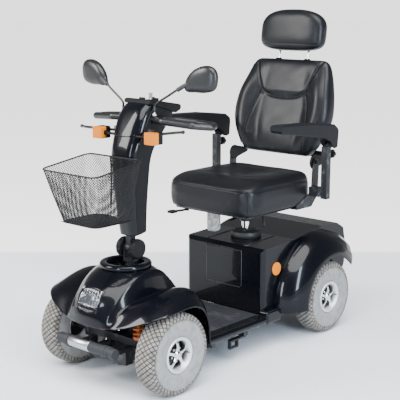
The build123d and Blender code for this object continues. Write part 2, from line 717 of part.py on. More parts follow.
def armrest(side):
    """Moulded arm pad with its hinge cheeks and pin."""
    outline = [(80, 988), (92, 996), (300, 988), (470, 968), (494, 952), (496, 930), (490, 868), (470, 862),
               (452, 872), (438, 896), (390, 916), (200, 944), (90, 962), (80, 972)]
    pad = side_prism(outline, 283, 342)
    pad = soften(pad, [e for e in pad.edges() if abs(e.center().X - 312.5) > 20 and e.center().Z > 925
                       and e.length > 25], 9)
    pad -= block(303.5, 334.5, 370, 455, 840, 908) + block(303.5, 334.5, 440, 510, 840, 912)
    pad += disc("x", (319, 470, 884), 6, 36)
    return pad if side > 0 else right(pad)


def clamp_knob(x, y, z, side):
    """Lobed clamping knob with a plain shank, its axis along Y."""
    body = rod((x, y - 12, z), (x, y + 18, z), 4)
    head = disc("y", (x, y + 26, z), 19, 18)
    for k in range(5):
        a = math.radians(72 * k + 36)
        head -= disc("y", (x + 23 * math.cos(a), y + 26, z + 23 * math.sin(a)), 7, 30)
    body += head
    return body


def width_knob():
    """Flat winged knob that locks the left armrest in its socket."""
    body = rod((262, 452.6, 669), (262, 472, 669), 4)
    wing = block(247, 277, 468, 482, 657, 681)
    return body + soften(wing, wing.edges().filter_by(Axis.Y), 8)


def slide_lever():
    body = disc("z", (-165, 60, 583), 8, 14)
    body += pipe([(-165, 60, 582), (-165, 30, 582), (-182, -8, 580)], 5, 12)
    blade = block(-204, -170, -34, 4, 575, 584)
    return body + soften(blade, blade.edges().filter_by(Axis.Z), 8)


def swivel_lever():
    body = disc("z", (50, 268, 565), 8, 16)
    body += pipe([(56, 266, 563), (128, 236, 563), (140, 226, 536)], 5, 8)
    body += rod((140, 226, 540), (146, 220, 522), 7)
    return body - rod((50, 268, 540), (50, 268, 590), 3 + RUN)


def main():
    wheels()
    save("chassis_frame", chassis_frame())
    save("front_axle", front_axle())
    save("front_shocks", pair(front_shocks()))
    save("front_shroud", front_shroud())
    headlight()
    save("floor_pan", floor_pan())
    save("floor_mat", floor_mat())
    save("front_bumper", front_bumper())
    save("batteries", batteries())
    save("drive_unit", drive_unit())
    save("rear_shroud", rear_shroud())
    save("marker_lamps", marker_lamps())
    save("seat_post", seat_post())
    save("seat_post_boot", seat_post_boot())
    save("knuckle_left", knuckle())
    save("knuckle_right", right(knuckle()))
    save("steering_column", steering_column())
    save("tie_rod", tie_rod())
    tiller_covers()
    save("tiller_stem", tiller_stem())
    save("hand_grips", grips())
    save("indicator_bodies", indicator_bodies())
    save("indicator_lenses", indicator_lenses())
    save("basket", basket())
    save("dash_panel", dash_panel())
    dash_controls()
    save("brake_lever", right(hand_lever([(150, -432, 992), (300, -412, 986), (350, -392, 984)])))
    save("throttle_lever", hand_lever([(130, -402, 993), (164, -356, 997), (180, -338, 998)]))
    save("mirror_left", mirror_unit())
    save("mirror_right", right(mirror_unit()))
    save("tilt_knob", tilt_knob())
    save("seat_base", seat_base())
    save("seat_frame", seat_frame())
    save("hanging_sleeve", hanging_sleeve())
    save("cushion", cushion())
    save("back_cushion", back_cushion())
    save("back_frame", back_frame())
    save("headrest", headrest())
    save("headrest_posts", headrest_posts())
    save("armrest_posts", armrest_posts())
    save("armrest_left", armrest(1))
    save("armrest_right", armrest(-1))
    save("arm_knob_left", clamp_knob(319, 452, 835, 1))
    save("arm_knob_right", clamp_knob(-319, 452, 835, -1))
    save("width_knob", width_knob())
    save("slide_lever", slide_lever())
    save("swivel_lever", swivel_lever())


main()
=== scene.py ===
# %% [markdown]
# # A four-wheel mobility scooter
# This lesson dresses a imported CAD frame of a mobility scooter. The frame decides where every part
# is and how it moves. The pieces below are the surfaces that a viewer sees. Each one rides on the
# CAD body that it belongs to, so it moves with that body.

# %% load the frame
import bpy
import json
import math
import numpy as np
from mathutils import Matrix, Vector


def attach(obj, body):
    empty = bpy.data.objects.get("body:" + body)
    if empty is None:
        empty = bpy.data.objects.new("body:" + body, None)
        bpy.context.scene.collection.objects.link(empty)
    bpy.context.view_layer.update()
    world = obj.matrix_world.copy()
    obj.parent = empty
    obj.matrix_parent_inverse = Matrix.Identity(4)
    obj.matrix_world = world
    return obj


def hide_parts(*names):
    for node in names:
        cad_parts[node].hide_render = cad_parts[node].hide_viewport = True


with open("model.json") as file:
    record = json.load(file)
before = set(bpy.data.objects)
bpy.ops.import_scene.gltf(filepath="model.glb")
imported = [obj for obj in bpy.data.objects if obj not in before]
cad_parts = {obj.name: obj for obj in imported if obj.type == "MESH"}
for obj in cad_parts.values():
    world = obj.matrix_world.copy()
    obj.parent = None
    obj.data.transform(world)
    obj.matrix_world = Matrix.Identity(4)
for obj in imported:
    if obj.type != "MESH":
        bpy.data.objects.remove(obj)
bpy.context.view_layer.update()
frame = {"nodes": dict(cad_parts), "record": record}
nodes = frame["nodes"]
scene = bpy.context.scene

# %% [markdown]
# ## Units
# Sizes are easiest to read in millimetres, measured from the ground halfway between the axles.
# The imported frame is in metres, and its origin is 11.74 mm further forward. Each mesh could be
# drawn in metres, but then no number would match the workshop size, so one small function
# converts points instead.

# %% units
MM = 0.001
SHIFT = 11.74


def at(x, y, z):
    return Vector((x * MM, (y + SHIFT) * MM, z * MM))


def points_at(array):
    out = np.asarray(array, float) * MM
    out[:, 1] += SHIFT * MM
    return out


print("one metre is", round(1 / MM), "units")

# %% [markdown]
# ## Camera
# The camera stands front-left of the scooter at about head height and looks slightly down. A long
# lens keeps the far wheels nearly as large as the near ones.

# %% camera
def add_object(name, data):
    obj = bpy.data.objects.new(name, data)
    scene.collection.objects.link(obj)
    return obj


def point_along(obj, direction):
    """Turn a camera or lamp so that it looks in a direction."""
    obj.rotation_euler = direction.to_track_quat("-Z", "Y").to_euler()


camera_data = bpy.data.cameras.new("camera")
camera_data.lens = 89.83
camera_data.sensor_width = 36
camera = add_object("camera", camera_data)
camera.location = at(2804.9, -3170.4, 1503.5)
point_along(camera, at(-19.4, -17.4, 654.5) - camera.location)
scene.camera = camera
print("camera", [round(c, 3) for c in camera.location])

# %% [markdown]
# ## Light
# Gloss panels show their surroundings more than their colour. A dim even world keeps them dark. A
# big soft key stands above the front corner, and two tall cool panels draw the long highlights
# along the bodywork.
#
# A broad sun stands in for a bright ceiling. It lights the floor evenly and leaves a soft shadow
# under the scooter.

# %% light
ROOM_COLOUR, ROOM_STRENGTH = (0.93, 0.95, 0.97, 1), 0.3
world = bpy.data.worlds.new("room")
scene.world = world
world.use_nodes = True
background = world.node_tree.nodes["Background"]
background.inputs["Color"].default_value = ROOM_COLOUR
background.inputs["Strength"].default_value = ROOM_STRENGTH


def softbox(name, where, toward, size, power, colour):
    data = bpy.data.lights.new(name, "AREA")
    data.shape = "RECTANGLE"
    data.size, data.size_y = size
    data.energy = power
    data.color = colour
    lamp = add_object(name, data)
    lamp.location = where
    point_along(lamp, Vector(toward) - Vector(where))


softbox("key", (-2.4, -3.4, 3.2), (0, 0, 0.5), (1.6, 2.6), 330, (1, 0.99, 0.97))
softbox("right_panel", (3.8, -0.9, 1.9), (0, 0.2, 0.5), (0.7, 2.6), 260, (0.75, 0.86, 1))
softbox("front_panel", (1.1, -4.6, 1.5), (0, 0, 0.6), (0.5, 2.0), 120, (0.8, 0.89, 1))
sun_data = bpy.data.lights.new("sky_panel", "SUN")
sun_data.energy = 7.2
sun_data.angle = 0.9
point_along(add_object("sky_panel", sun_data), Vector((-0.35, 0.3, -1)))
print(len(bpy.data.lights), "lights")

# %% [markdown]
# ## Shader arithmetic
# A procedural material is a small sum: some noise, scaled, plus a base value. Each step is a
# node, and wiring them by hand hides the sum. `Wire` wraps a node socket, so that the sum reads
# as ordinary arithmetic.

# %% wire
class Wire:
    """A socket in a node tree that can be added, scaled and compared."""

    def __init__(self, tree, socket):
        self.tree, self.socket = tree, socket

    def math(self, operation, *others):
        node = self.tree.nodes.new("ShaderNodeMath")
        node.operation = operation
        for value, socket in zip((self, *others), node.inputs):
            plug(self.tree, value, socket)
        return Wire(self.tree, node.outputs[0])

    def __add__(self, other):
        return self.math("ADD", other)

    def __mul__(self, other):
        return self.math("MULTIPLY", other)

    __radd__ = __add__

    def step(self, low, high):
        """0 below low, 1 above high, smooth between them."""
        node = self.tree.nodes.new("ShaderNodeMapRange")
        node.interpolation_type = "SMOOTHSTEP"
        plug(self.tree, self, node.inputs["Value"])
        node.inputs["From Min"].default_value = low
        node.inputs["From Max"].default_value = high
        return Wire(self.tree, node.outputs["Result"])

    def part(self, axis):
        """One axis of a vector."""
        node = self.tree.nodes.new("ShaderNodeSeparateXYZ")
        plug(self.tree, self, node.inputs[0])
        return Wire(self.tree, node.outputs["XYZ".index(axis)])


def plug(tree, value, socket):
    if isinstance(value, Wire):
        tree.links.new(value.socket, socket)
    else:
        socket.default_value = value


print("Wire is ready")

# %% [markdown]
# ## A finish
# `Finish` builds one material round a Principled shader. Values that never vary go on the
# shader's own sockets. Colour, roughness and bump can each take a pattern, placed in the object's
# own coordinates so that it stays on the piece when the piece moves.

# %% finish
class Finish:
    """A material under construction around one Principled shader."""

    def __init__(self, name, colour, roughness=0.5, metallic=0.0, **constants):
        self.material = bpy.data.materials.new(name)
        self.material.use_nodes = True
        self.tree = self.material.node_tree
        self.shader = self.tree.nodes["Principled BSDF"]
        self.shader.inputs["Base Color"].default_value = (*colour, 1)
        self.shader.inputs["Roughness"].default_value = roughness
        self.shader.inputs["Metallic"].default_value = metallic
        for key, value in constants.items():
            socket = key.replace("_", " ").title().replace("Ior", "IOR")
            self.shader.inputs[socket].default_value = value

    def add(self, kind, output=0, **inputs):
        """Any node. Its properties and inputs are named in the call."""
        node = self.tree.nodes.new(kind)
        for key, value in inputs.items():
            if hasattr(node, key):
                setattr(node, key, value)
            else:
                plug(self.tree, value, node.inputs[key.replace("_", " ")])
        return Wire(self.tree, node.outputs[output])

    def where(self):
        return self.add("ShaderNodeTexCoord", "Object")

    def noise(self, scale, detail=2.0):
        return self.add("ShaderNodeTexNoise", "Fac", Vector=self.where(), Scale=scale,
                        Detail=detail)

    def ribs(self, count):
        """Even ridges across X, from 0 to 1."""
        return (self.where().part("X") * count).math("SINE") * 0.5 + 0.5

    def blend(self, factor, low, high):
        node = self.tree.nodes.new("ShaderNodeMix")
        node.data_type = "RGBA"
        plug(self.tree, factor, node.inputs["Factor"])
        for value, socket in ((low, node.inputs[6]), (high, node.inputs[7])):
            plug(self.tree, value if isinstance(value, Wire) else (*value, 1), socket)
        return Wire(self.tree, node.outputs[2])

    def colour(self, value):
        plug(self.tree, value, self.shader.inputs["Base Color"])

    def rough(self, value):
        plug(self.tree, value, self.shader.inputs["Roughness"])

    def bump(self, height, strength=0.3, distance=0.001):
        node = self.tree.nodes.new("ShaderNodeBump")
        node.inputs["Strength"].default_value = strength
        node.inputs["Distance"].default_value = distance
        plug(self.tree, height, node.inputs["Height"])
        self.tree.links.new(node.outputs[0], self.shader.inputs["Normal"])


print("Finish is ready")

# %% [markdown]
# ## Paint and black plastic
# The bodywork is a near-black gloss with a faint blue flake under a clear coat. A fine noise, cut
# off sharply, gives the flake, and the coat gives the sharp highlight. The covers are satin
# plastic, whose grain is too small to model, so it is a bump.

# %% paint and plastic
paint = Finish("body_paint", (0.0015, 0.0018, 0.003), 0.3, specular_ior_level=0.08,
               coat_weight=0.5, coat_roughness=0.03, coat_ior=1.36)
flake = paint.noise(2600, 0)
paint.colour(paint.blend(flake.step(0.45, 0.78), (0.0011, 0.0012, 0.0015),
                         (0.0018, 0.003, 0.0085)))
paint.rough(0.24 + paint.noise(9) * 0.06)

satin = Finish("satin_plastic", (0.006, 0.0062, 0.007), 0.42, specular_ior_level=0.11)
satin.rough(0.36 + satin.noise(40) * 0.12)
satin.bump(satin.noise(900, 1), 0.12, 0.0004)

gloss = Finish("grip_plastic", (0.006, 0.006, 0.007), 0.3, specular_ior_level=0.35,
               coat_weight=0.1, coat_roughness=0.2)
gloss.rough(0.3 + gloss.noise(30) * 0.12)

arm_plastic = Finish("arm_pad", (0.005, 0.0055, 0.007), 0.5, specular_ior_level=0.16)
arm_plastic.rough(0.48 + arm_plastic.noise(40) * 0.12)
arm_plastic.bump(arm_plastic.noise(1100, 2), 0.35, 0.0005)

battery_case = Finish("battery_plastic", (0.03, 0.03, 0.033), 0.6)
battery_case.rough(0.5 + battery_case.noise(20) * 0.2)
print("paint and plastic ready")

# %% [markdown]
# ## Metals
# The frame is steel under worn black paint. The seat and headrest posts and the lamp bowl are
# chromed, and the wheels are painted silver. Worn places are where a coarse noise passes a
# threshold, which is cheaper than painting a wear map and needs no image.

# %% metals
steel = Finish("frame_steel", (0.03, 0.031, 0.034), 0.42, 0.2, specular_ior_level=0.3)
wear = steel.noise(35, 6).step(0.5, 0.72)
steel.colour(steel.blend(wear, (0.012, 0.0125, 0.015), (0.05, 0.052, 0.058)))
steel.rough(0.36 + steel.noise(60, 3) * 0.22)
steel.bump(steel.noise(140, 4), 0.2, 0.0006)

chrome = Finish("chrome", (0.72, 0.73, 0.75), 0.09, 1.0)
chrome.rough(0.06 + chrome.noise(50) * 0.08)

bright = Finish("bright_steel", (0.42, 0.42, 0.43), 0.3, 1.0)
bright.rough(0.24 + bright.noise(80) * 0.14)

alloy = Finish("cast_alloy", (0.3, 0.3, 0.31), 0.5, 0.9)
alloy.bump(alloy.noise(200, 3), 0.3, 0.0006)

rim_paint = Finish("wheel_silver", (0.62, 0.63, 0.64), 0.34, 0.55)
rim_paint.rough(0.28 + rim_paint.noise(45, 4) * 0.2)
rim_paint.bump(rim_paint.noise(90, 3), 0.15, 0.0004)

orange = Finish("spring_orange", (0.42, 0.09, 0.012), 0.38)
orange.rough(0.3 + orange.noise(60, 3) * 0.2)

mirror_glass = Finish("mirror_glass", (0.9, 0.92, 0.93), 0.02, 1.0)
mirror_glass.rough(0.015 + mirror_glass.noise(6) * 0.02)
print("metals ready")

# %% [markdown]
# ## Rubber and the deck
# The deck mat is ribbed rubber with pale scuffs where feet rest. The bumper tube has a dark matt
# cover. Both are rough, so most of what the eye reads is the bump.

# %% rubber
rubber = Finish("black_rubber", (0.012, 0.012, 0.013), 0.55)
rubber.rough(0.46 + rubber.noise(25, 4) * 0.2)

mat_rubber = Finish("deck_rubber", (0.028, 0.03, 0.034), 0.6)
scuff = mat_rubber.noise(16, 6).step(0.48, 0.74)
mat_rubber.colour(mat_rubber.blend(scuff, (0.010, 0.011, 0.014), (0.032, 0.033, 0.037)))
mat_rubber.rough(0.5 + mat_rubber.noise(40, 3) * 0.25)
mat_rubber.bump(mat_rubber.noise(300, 2), 0.3, 0.0006)

grey_paint = Finish("bumper_grey", (0.02, 0.021, 0.023), 0.55, specular_ior_level=0.2)
grey_paint.rough(0.5 + grey_paint.noise(50, 3) * 0.2)
grey_paint.bump(grey_paint.noise(240, 3), 0.3, 0.0006)
print("rubber ready")

# %% [markdown]
# ## Tyre rubber
# The tyres are pale grey with patches of brown dust. The tread grooves are painted near black with
# a brown tint, a painted shade in the grooves. Colour by distance from the axle would also darken
# the shoulders, so the mesh stores two values at each point, how deep it is in a groove and how far
# it is into the tread, and the material reads them.

# %% tyre rubber
tyre = Finish("tyre_grey", (0.24, 0.237, 0.23), 0.85)
dust = tyre.noise(38, 5).step(0.38, 0.7)
groove = tyre.add("ShaderNodeAttribute", "Fac", attribute_name="groove")
tread_zone = tyre.add("ShaderNodeAttribute", "Fac", attribute_name="tread")
side_colour = tyre.blend(dust, (0.225, 0.225, 0.222), (0.17, 0.17, 0.167))
block_colour = tyre.blend(dust, (0.20, 0.19, 0.172), (0.13, 0.115, 0.098))
# Painted shade: the grooves are coloured near black, tinted brown.
groove_shaded_tread = tyre.blend(groove, block_colour, (0.018, 0.0145, 0.012))
tyre.colour(tyre.blend(tread_zone, side_colour, groove_shaded_tread))
tyre.bump(tyre.noise(260, 4), 0.35, 0.0008)
print("tyre rubber ready")

# %% [markdown]
# ## Lenses
# The indicators and marker lamps are ribbed amber plastic, and the headlight is a clear fluted
# lens. A sine across the lens gives the ribs, both as a bump and as bands of painted light and
# shade, a lighter and a darker amber that follow the ribs.

# %% lenses
amber = Finish("amber_lens", (0.6, 0.14, 0.004), 0.3, specular_ior_level=0.2,
               coat_weight=0.12, coat_roughness=0.08)
ribs = amber.ribs(900)
# Painted light and shade: a lighter and a darker copy of the amber, laid in bands on the ribs.
amber.colour(amber.blend(ribs * 0.5, (0.6, 0.17, 0.003), (0.34, 0.07, 0.001)))
amber.bump(ribs, 0.5, 0.0008)

lens = Finish("clear_lens", (0.95, 0.97, 1.0), 0.03, transmission_weight=1.0, ior=1.45)
lens.bump(lens.ribs(420), 0.5, 0.001)
print("lenses ready")

# %% [markdown]
# ## Basket wire, sleeve and seat vinyl
# The seat is covered in black vinyl. It has a fine grain, broad soft creases, and paler patches
# where the surface is rubbed. The grain and creases share one bump, so that neither hides the
# other.

# %% wire, sleeve and vinyl
mesh_wire = Finish("basket_wire", (0.006, 0.006, 0.007), 0.45, specular_ior_level=0.2)
mesh_wire.rough(0.34 + mesh_wire.noise(60) * 0.15)

pale = Finish("pale_sleeve", (0.45, 0.45, 0.43), 0.6)
mottle = pale.noise(70, 5).step(0.4, 0.62)
pale.colour(pale.blend(mottle, (0.56, 0.56, 0.54), (0.3, 0.3, 0.28)))
pale.bump(pale.noise(150, 4), 0.4, 0.001)

vinyl = Finish("seat_vinyl", (0.005, 0.0052, 0.0065), 0.4, specular_ior_level=0.2,
               coat_weight=0.04, coat_roughness=0.3)
crease = vinyl.noise(11, 6)
grain = vinyl.noise(620, 3)
worn = vinyl.noise(26, 8).step(0.6, 0.78)
vinyl.colour(vinyl.blend(worn * 0.6, (0.0042, 0.0045, 0.006), (0.022, 0.023, 0.028)))
vinyl.rough(0.31 + crease * 0.14 + worn * 0.1)
vinyl.bump(grain * 0.35 + crease * 2.0, 0.35, 0.0012)
print(len(bpy.data.materials), "finishes")

# %% [markdown]
# ## Carried CAD pieces
# Most hard parts are shown as the CAD made them, since their real shape is already a machined or
# moulded one. Each takes the finish of its material slot.

# %% carried finishes
BY_SLOT = {"body_paint": paint, "satin_plastic": satin, "grip_plastic": gloss, "frame_steel": steel,
           "chrome": chrome, "bright_steel": bright, "cast_alloy": alloy, "black_rubber": rubber,
           "deck_rubber": mat_rubber, "tyre_grey": tyre, "wheel_silver": rim_paint,
           "spring_orange": orange, "amber_lens": amber, "clear_lens": lens, "lamp_chrome": chrome,
           "bumper_grey": grey_paint, "basket_wire": mesh_wire, "pale_sleeve": pale,
           "arm_pad": arm_plastic, "battery_plastic": battery_case, "seat_vinyl": vinyl}
slot_of = {s["node"]: s["material_slot"] for s in frame["record"]["subparts"]}
for name, obj in nodes.items():
    finish = BY_SLOT[slot_of[name]]
    obj.data.materials.clear()
    obj.data.materials.append(finish.material)
print("finishes given to", len(nodes), "nodes")

# %% [markdown]
# ## Grids and curves
# Every soft surface below is a grid: rings of points with quads between neighbours. Modelling by
# formula keeps each size in sight and can be repeated exactly. `smooth_path` passes a curve
# through a few measured points, `ease` gives a soft step, and `squared` turns a circle into a
# rounded square.

# %% grids and curves
def grid_faces(rows, cols, wrap_rows=False, wrap_cols=False):
    r = np.arange(rows if wrap_rows else rows - 1)
    c = np.arange(cols if wrap_cols else cols - 1)
    rr, cc = np.meshgrid(r, c, indexing="ij")
    r2, c2 = (rr + 1) % rows, (cc + 1) % cols
    quads = np.stack([rr * cols + cc, rr * cols + c2, r2 * cols + c2, r2 * cols + cc], -1)
    return quads.reshape(-1, 4).tolist()


def smooth_path(points, count, closed=False):
    """Catmull-Rom curve through points, sampled evenly in its parameter."""
    p = np.asarray(points, float)
    n = len(p)
    out = []
    spans = n if closed else n - 1
    for t in np.linspace(0, spans, count, endpoint=not closed):
        i = min(int(t), spans - 1)
        f = t - i
        if closed:
            a, b, c, d = (p[(i + k) % n] for k in (-1, 0, 1, 2))
        else:
            a, b, c, d = p[max(i - 1, 0)], p[i], p[i + 1], p[min(i + 2, n - 1)]
        out.append(0.5 * (2 * b + (c - a) * f + (2 * a - 5 * b + 4 * c - d) * f ** 2
                          + (3 * b - a - 3 * c + d) * f ** 3))
    return np.array(out)


def ease(x, low, high):
    t = np.clip((np.asarray(x, float) - low) / (high - low), 0, 1)
    return t * t * (3 - 2 * t)


def squared(wave, power):
    """A sine or cosine, pushed toward the corners of a square."""
    return np.sign(wave) * np.abs(wave) ** (2 / power)


def circle(count):
    """Angles evenly spaced round a full turn."""
    return np.linspace(0, 2 * math.pi, count, endpoint=False)


print("grid of 3 by 3 has", len(grid_faces(3, 3)), "faces")

# %% [markdown]
# ## Tyre shape
# A real tyre is moulded with its tread. Here the section is one curve turned round the axle, and
# two families of slanted grooves cut it into diamond blocks. The grooves are geometry, not bump,
# because the tread shows against the floor. One mesh serves all four wheels.

# %% tyre shape
TYRE_R = 165.0
BLOCKS_ROUND, BLOCK_SPAN, HALF_BLOCK, TREAD_DEPTH = 48, 27.0, 16.8, 4.6
SIDEWALL = [(40, 73), (46, 84), (49.3, 104), (50, 124), (48.6, 141), (44, 154), (35, 161.5),
            (20, 164.4)]


def tyre_rings(steps=576):
    """Points, groove depth and tread area of the tyre, each on one grid."""
    section = [(-x, r) for x, r in SIDEWALL] + [(0, TYRE_R)] + SIDEWALL[::-1]
    profile = smooth_path(section, 120)
    angles = circle(steps)
    x, r = profile[:, 0][:, None], profile[:, 1][:, None]
    length = np.concatenate([[0], np.cumsum(np.hypot(*np.diff(profile, axis=0).T))])
    s = (length - length[-1] / 2)[:, None]
    pitch = 2 * math.pi * TYRE_R / BLOCKS_ROUND
    lane = angles[None, :] * TYRE_R
    u, v = lane / pitch + s / BLOCK_SPAN, lane / pitch - s / BLOCK_SPAN
    near = np.minimum(np.abs(u - np.round(u)), np.abs(v - np.round(v))) * HALF_BLOCK
    depth = (1 - ease(near, 1.1, 2.2)) * TREAD_DEPTH
    depth = depth * (1 - ease(np.abs(s), 60, 68))
    edge = np.exp(-((np.abs(s) - 70) / 1.6) ** 2) * 1.2
    radius = r - depth * np.cos(np.clip(np.abs(s) / 95, 0, 1.2)) - edge
    xx = x - np.sign(x) * depth * np.sin(np.clip(np.abs(s) / 80, 0, 1.2)) * 0.8
    points = np.stack([xx + 0 * radius, radius * np.cos(angles), radius * np.sin(angles)], -1)
    return points, depth / TREAD_DEPTH, (1 - ease(np.abs(s), 64, 71)) + 0 * depth


rings, groove_depth, tread_area = tyre_rings()
print("tyre grid", rings.shape[:2])

# %% [markdown]
# ## Tyres on their wheels
# The four tyres share the mesh, so it is stored once. Each rides on its own wheel body and stands
# for that wheel's CAD tyre.

# %% tyres
rows, cols = rings.shape[:2]
tyre_mesh = bpy.data.meshes.new("tyre")
quads = grid_faces(rows, cols, False, True)
last = (rows - 1) * cols
inner = [[last + k, last + (k + 1) % cols, (k + 1) % cols, k] for k in range(cols)]
tyre_mesh.from_pydata([tuple(p) for p in rings.reshape(-1, 3) * MM], [], quads + inner)
for name, values in (("groove", groove_depth), ("tread", tread_area)):
    layer = tyre_mesh.attributes.new(name, "FLOAT", "POINT")
    layer.data.foreach_set("value", values.reshape(-1).astype(np.float32))
tyre_mesh.materials.append(tyre.material)
tyre_mesh.polygons.foreach_set("use_smooth", [True] * len(tyre_mesh.polygons))
AXLE_Y = 512
WHEELS = {"front_left": (276, -AXLE_Y, 1), "front_right": (-276, -AXLE_Y, -1),
          "rear_left": (262, AXLE_Y, 1), "rear_right": (-262, AXLE_Y, -1)}
for tag, (x, y, side) in WHEELS.items():
    obj = add_object("tyre_" + tag + "_skin", tyre_mesh)
    obj.location = at(x, y, TYRE_R)
    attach(obj, "wheel_" + tag)
    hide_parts("tyre_" + tag)
print("tyre", rows * cols, "points")

# %% [markdown]
# ## Surface helpers
# The rest of the pieces are drawn in scooter coordinates. `surface` makes the object and ties it
# to its body. `shell` joins rings of points, and `lathe` turns a profile about an axis, as a
# lathe or a potter's wheel does.

# %% surface helpers
def surface(name, verts, faces, finish, body, smooth=True):
    mesh = bpy.data.meshes.new(name)
    mesh.from_pydata([tuple(p) for p in points_at(verts)], [], [list(f) for f in faces])
    mesh.materials.append(finish.material)
    mesh.polygons.foreach_set("use_smooth", [smooth] * len(mesh.polygons))
    mesh.update()
    obj = add_object(name, mesh)
    if body:
        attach(obj, body)
    return obj


def shell(name, rings, finish, body, wrap=True, caps=True, loop=False):
    """Rings of equal length joined in order. The ends are flat, or joined to each other."""
    rings = np.asarray(rings, float)
    rows, cols = rings.shape[:2]
    faces = grid_faces(rows, cols, loop, wrap)
    if caps and wrap and not loop:
        faces.append(list(range(cols))[::-1])
        faces.append([(rows - 1) * cols + i for i in range(cols)])
    return surface(name, rings.reshape(-1, 3), faces, finish, body)


def lathe(name, profile, centre, axis, finish, body, steps=96, loop=False):
    """Profile of (along, radius) turned about an axis through a centre."""
    angles = circle(steps)
    rings = []
    for along, radius in profile:
        c, s = radius * np.cos(angles), radius * np.sin(angles)
        a = np.full_like(angles, along)
        rings.append(np.stack({"X": (a, c, s), "Z": (c, s, a)}[axis], 1) + centre)
    return shell(name, rings, finish, body, loop=loop)


def shifted(faces, start):
    """The same faces, for points that begin further down the list."""
    return [[start + corner for corner in face] for face in faces]


print("surface helpers ready")

# %% [markdown]
# ## Wheel centres
# A pale rolled ring holds the tyre. Inside it, five bright spokes stand in front of a dark dish,
# round a domed cap and its nuts. The dark dish is painted shade, a dark sheet for the shade seen
# through the gaps between the spokes. The round pieces are turned, and the ring's profile closes on
# itself so that no disc covers the middle. The spokes and nuts have flat sides, so they keep flat
# shading.

# %% wheel centres
def prisms(name, sections, points_per_section, capped, finish, body):
    """Several short prisms in one flat-shaded mesh. Each is a list of sections, end to end."""
    verts, faces = [], []
    for prism in sections:
        start, count = len(verts), len(prism) // points_per_section
        verts.extend(prism)
        faces += shifted(grid_faces(count, points_per_section, False, True), start)
        if capped:
            faces.append([start + (count - 1) * points_per_section + j
                          for j in range(points_per_section)])
    surface(name, verts, faces, finish, body, smooth=False)


def spoke(centre, side, turn):
    a = math.radians(turn)
    radial = np.array([0, math.cos(a), math.sin(a)])
    across = np.array([0, -math.sin(a), math.cos(a)])
    out = np.array([side, 0, 0])
    return [centre + radial * r + across * w * wide + out * d
            for r, wide, front in ((15, 9, 35), (28, 6.5, 37), (44, 6.5, 34), (57, 11, 30))
            for w, d in ((-1, front - 9), (-1, front - 2), (-0.55, front), (0.55, front),
                         (1, front - 2), (1, front - 9))]


def nut(centre, side, turn):
    a = math.radians(turn)
    middle = centre + np.array([0, 27 * math.cos(a), 27 * math.sin(a)])
    corners = [math.radians(60 * j) for j in range(6)]
    return [middle + np.array([side * d, r * math.cos(b), r * math.sin(b)])
            for d, r in ((12, 5.5), (27, 5.5), (29, 3.5)) for b in corners]


def wheel_centre(tag, x, y, side):
    body, centre = "wheel_" + tag, np.array([x, y, TYRE_R])

    def turned(name, profile, finish, steps=96, loop=False):
        outward = [(side * a, r) for a, r in profile]
        return lathe(tag + "_" + name, outward, centre, "X", finish, body, steps, loop)

    ring = turned("ring", [(38, 72.2), (43, 72.0), (45.5, 69.5), (45.2, 66), (43, 61), (38, 57.5),
                           (30, 56), (6, 55.5), (6, 60), (30, 62), (33, 68), (-34, 70),
                           (-42, 72.2)], rim_paint, 128, True)
    # Painted shade: a dark gloss dish behind the spokes for the shade seen through their gaps.
    turned("gap_shade_dish", [(6, 56), (9, 54), (11, 40), (9, 12), (9, 0.5)], gloss)
    turned("cap", [(10, 19), (30, 18.5), (36, 16), (40, 11), (41.5, 5), (42, 0.5)], chrome, 48)
    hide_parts("rim_" + tag)
    prisms(tag + "_spokes", [spoke(centre, side, 72 * i + 17) for i in range(5)], 6, False,
           chrome, body)
    prisms(tag + "_nuts", [nut(centre, side, 72 * i + 53) for i in range(5)], 6, True,
           bright, body)
    valve = np.array([34 if side > 0 else -49, 50, 0])
    lathe(tag + "_valve", [(0, 2.6), (14, 2.6), (15, 1.6), (15.5, 0.2)], centre + valve, "X",
          rubber, body, 12)


for tag, (x, y, side) in WHEELS.items():
    wheel_centre(tag, x, y, side)
print("wheel centres built")

# %% [markdown]
# ## Wires
# Piping, seams, basket wires and mirror stems are all round wires that follow a path. `wires`
# sweeps a small circle along each path and joins them in one mesh. A curve with a bevel would
# look the same, but a mesh exports as it stands.

# %% wires
def wires(name, paths, radius, finish, body, sides=6, closed=False):
    """Round wires along several paths, in one mesh."""
    verts, faces = [], []
    turn = circle(sides)
    for path in paths:
        p = np.asarray(path, float)
        n = len(p)
        if closed:
            tangent = np.roll(p, -1, 0) - np.roll(p, 1, 0)
        else:
            tangent = np.gradient(p, axis=0)
        tangent /= np.linalg.norm(tangent, axis=1, keepdims=True)
        level = abs(tangent[0][2]) < 0.9
        up = np.array([0.0, 0.0, 1.0] if level else [1.0, 0.0, 0.0])
        start = len(verts)
        for i in range(n):
            side = np.cross(tangent[i], up)
            side /= np.linalg.norm(side)
            up = np.cross(side, tangent[i])
            ring = p[i] + radius * (np.outer(np.cos(turn), side) + np.outer(np.sin(turn), up))
            verts.extend(ring)
        faces += shifted(grid_faces(n, sides, closed, True), start)
        if not closed:
            faces.append([start + k for k in range(sides)][::-1])
            faces.append([start + (n - 1) * sides + k for k in range(sides)])
    return surface(name, verts, faces, finish, body)


def mirrored(array):
    out = np.array(array, float)
    out[..., 0] *= -1
    return out


print("wires ready")

# %% [markdown]
# ## Seat cushion shape
# The cushion is foam in a boxed vinyl cover. Its plan is a rounded square, its sides bulge a
# little, and the front edge rolls down. It could be inflated by a cloth simulation. Here each
# ring is a height and a scale of the plan, with a few slow sines for the unevenness of a used
# seat, which gives the same shape each time and exact control of the crown.

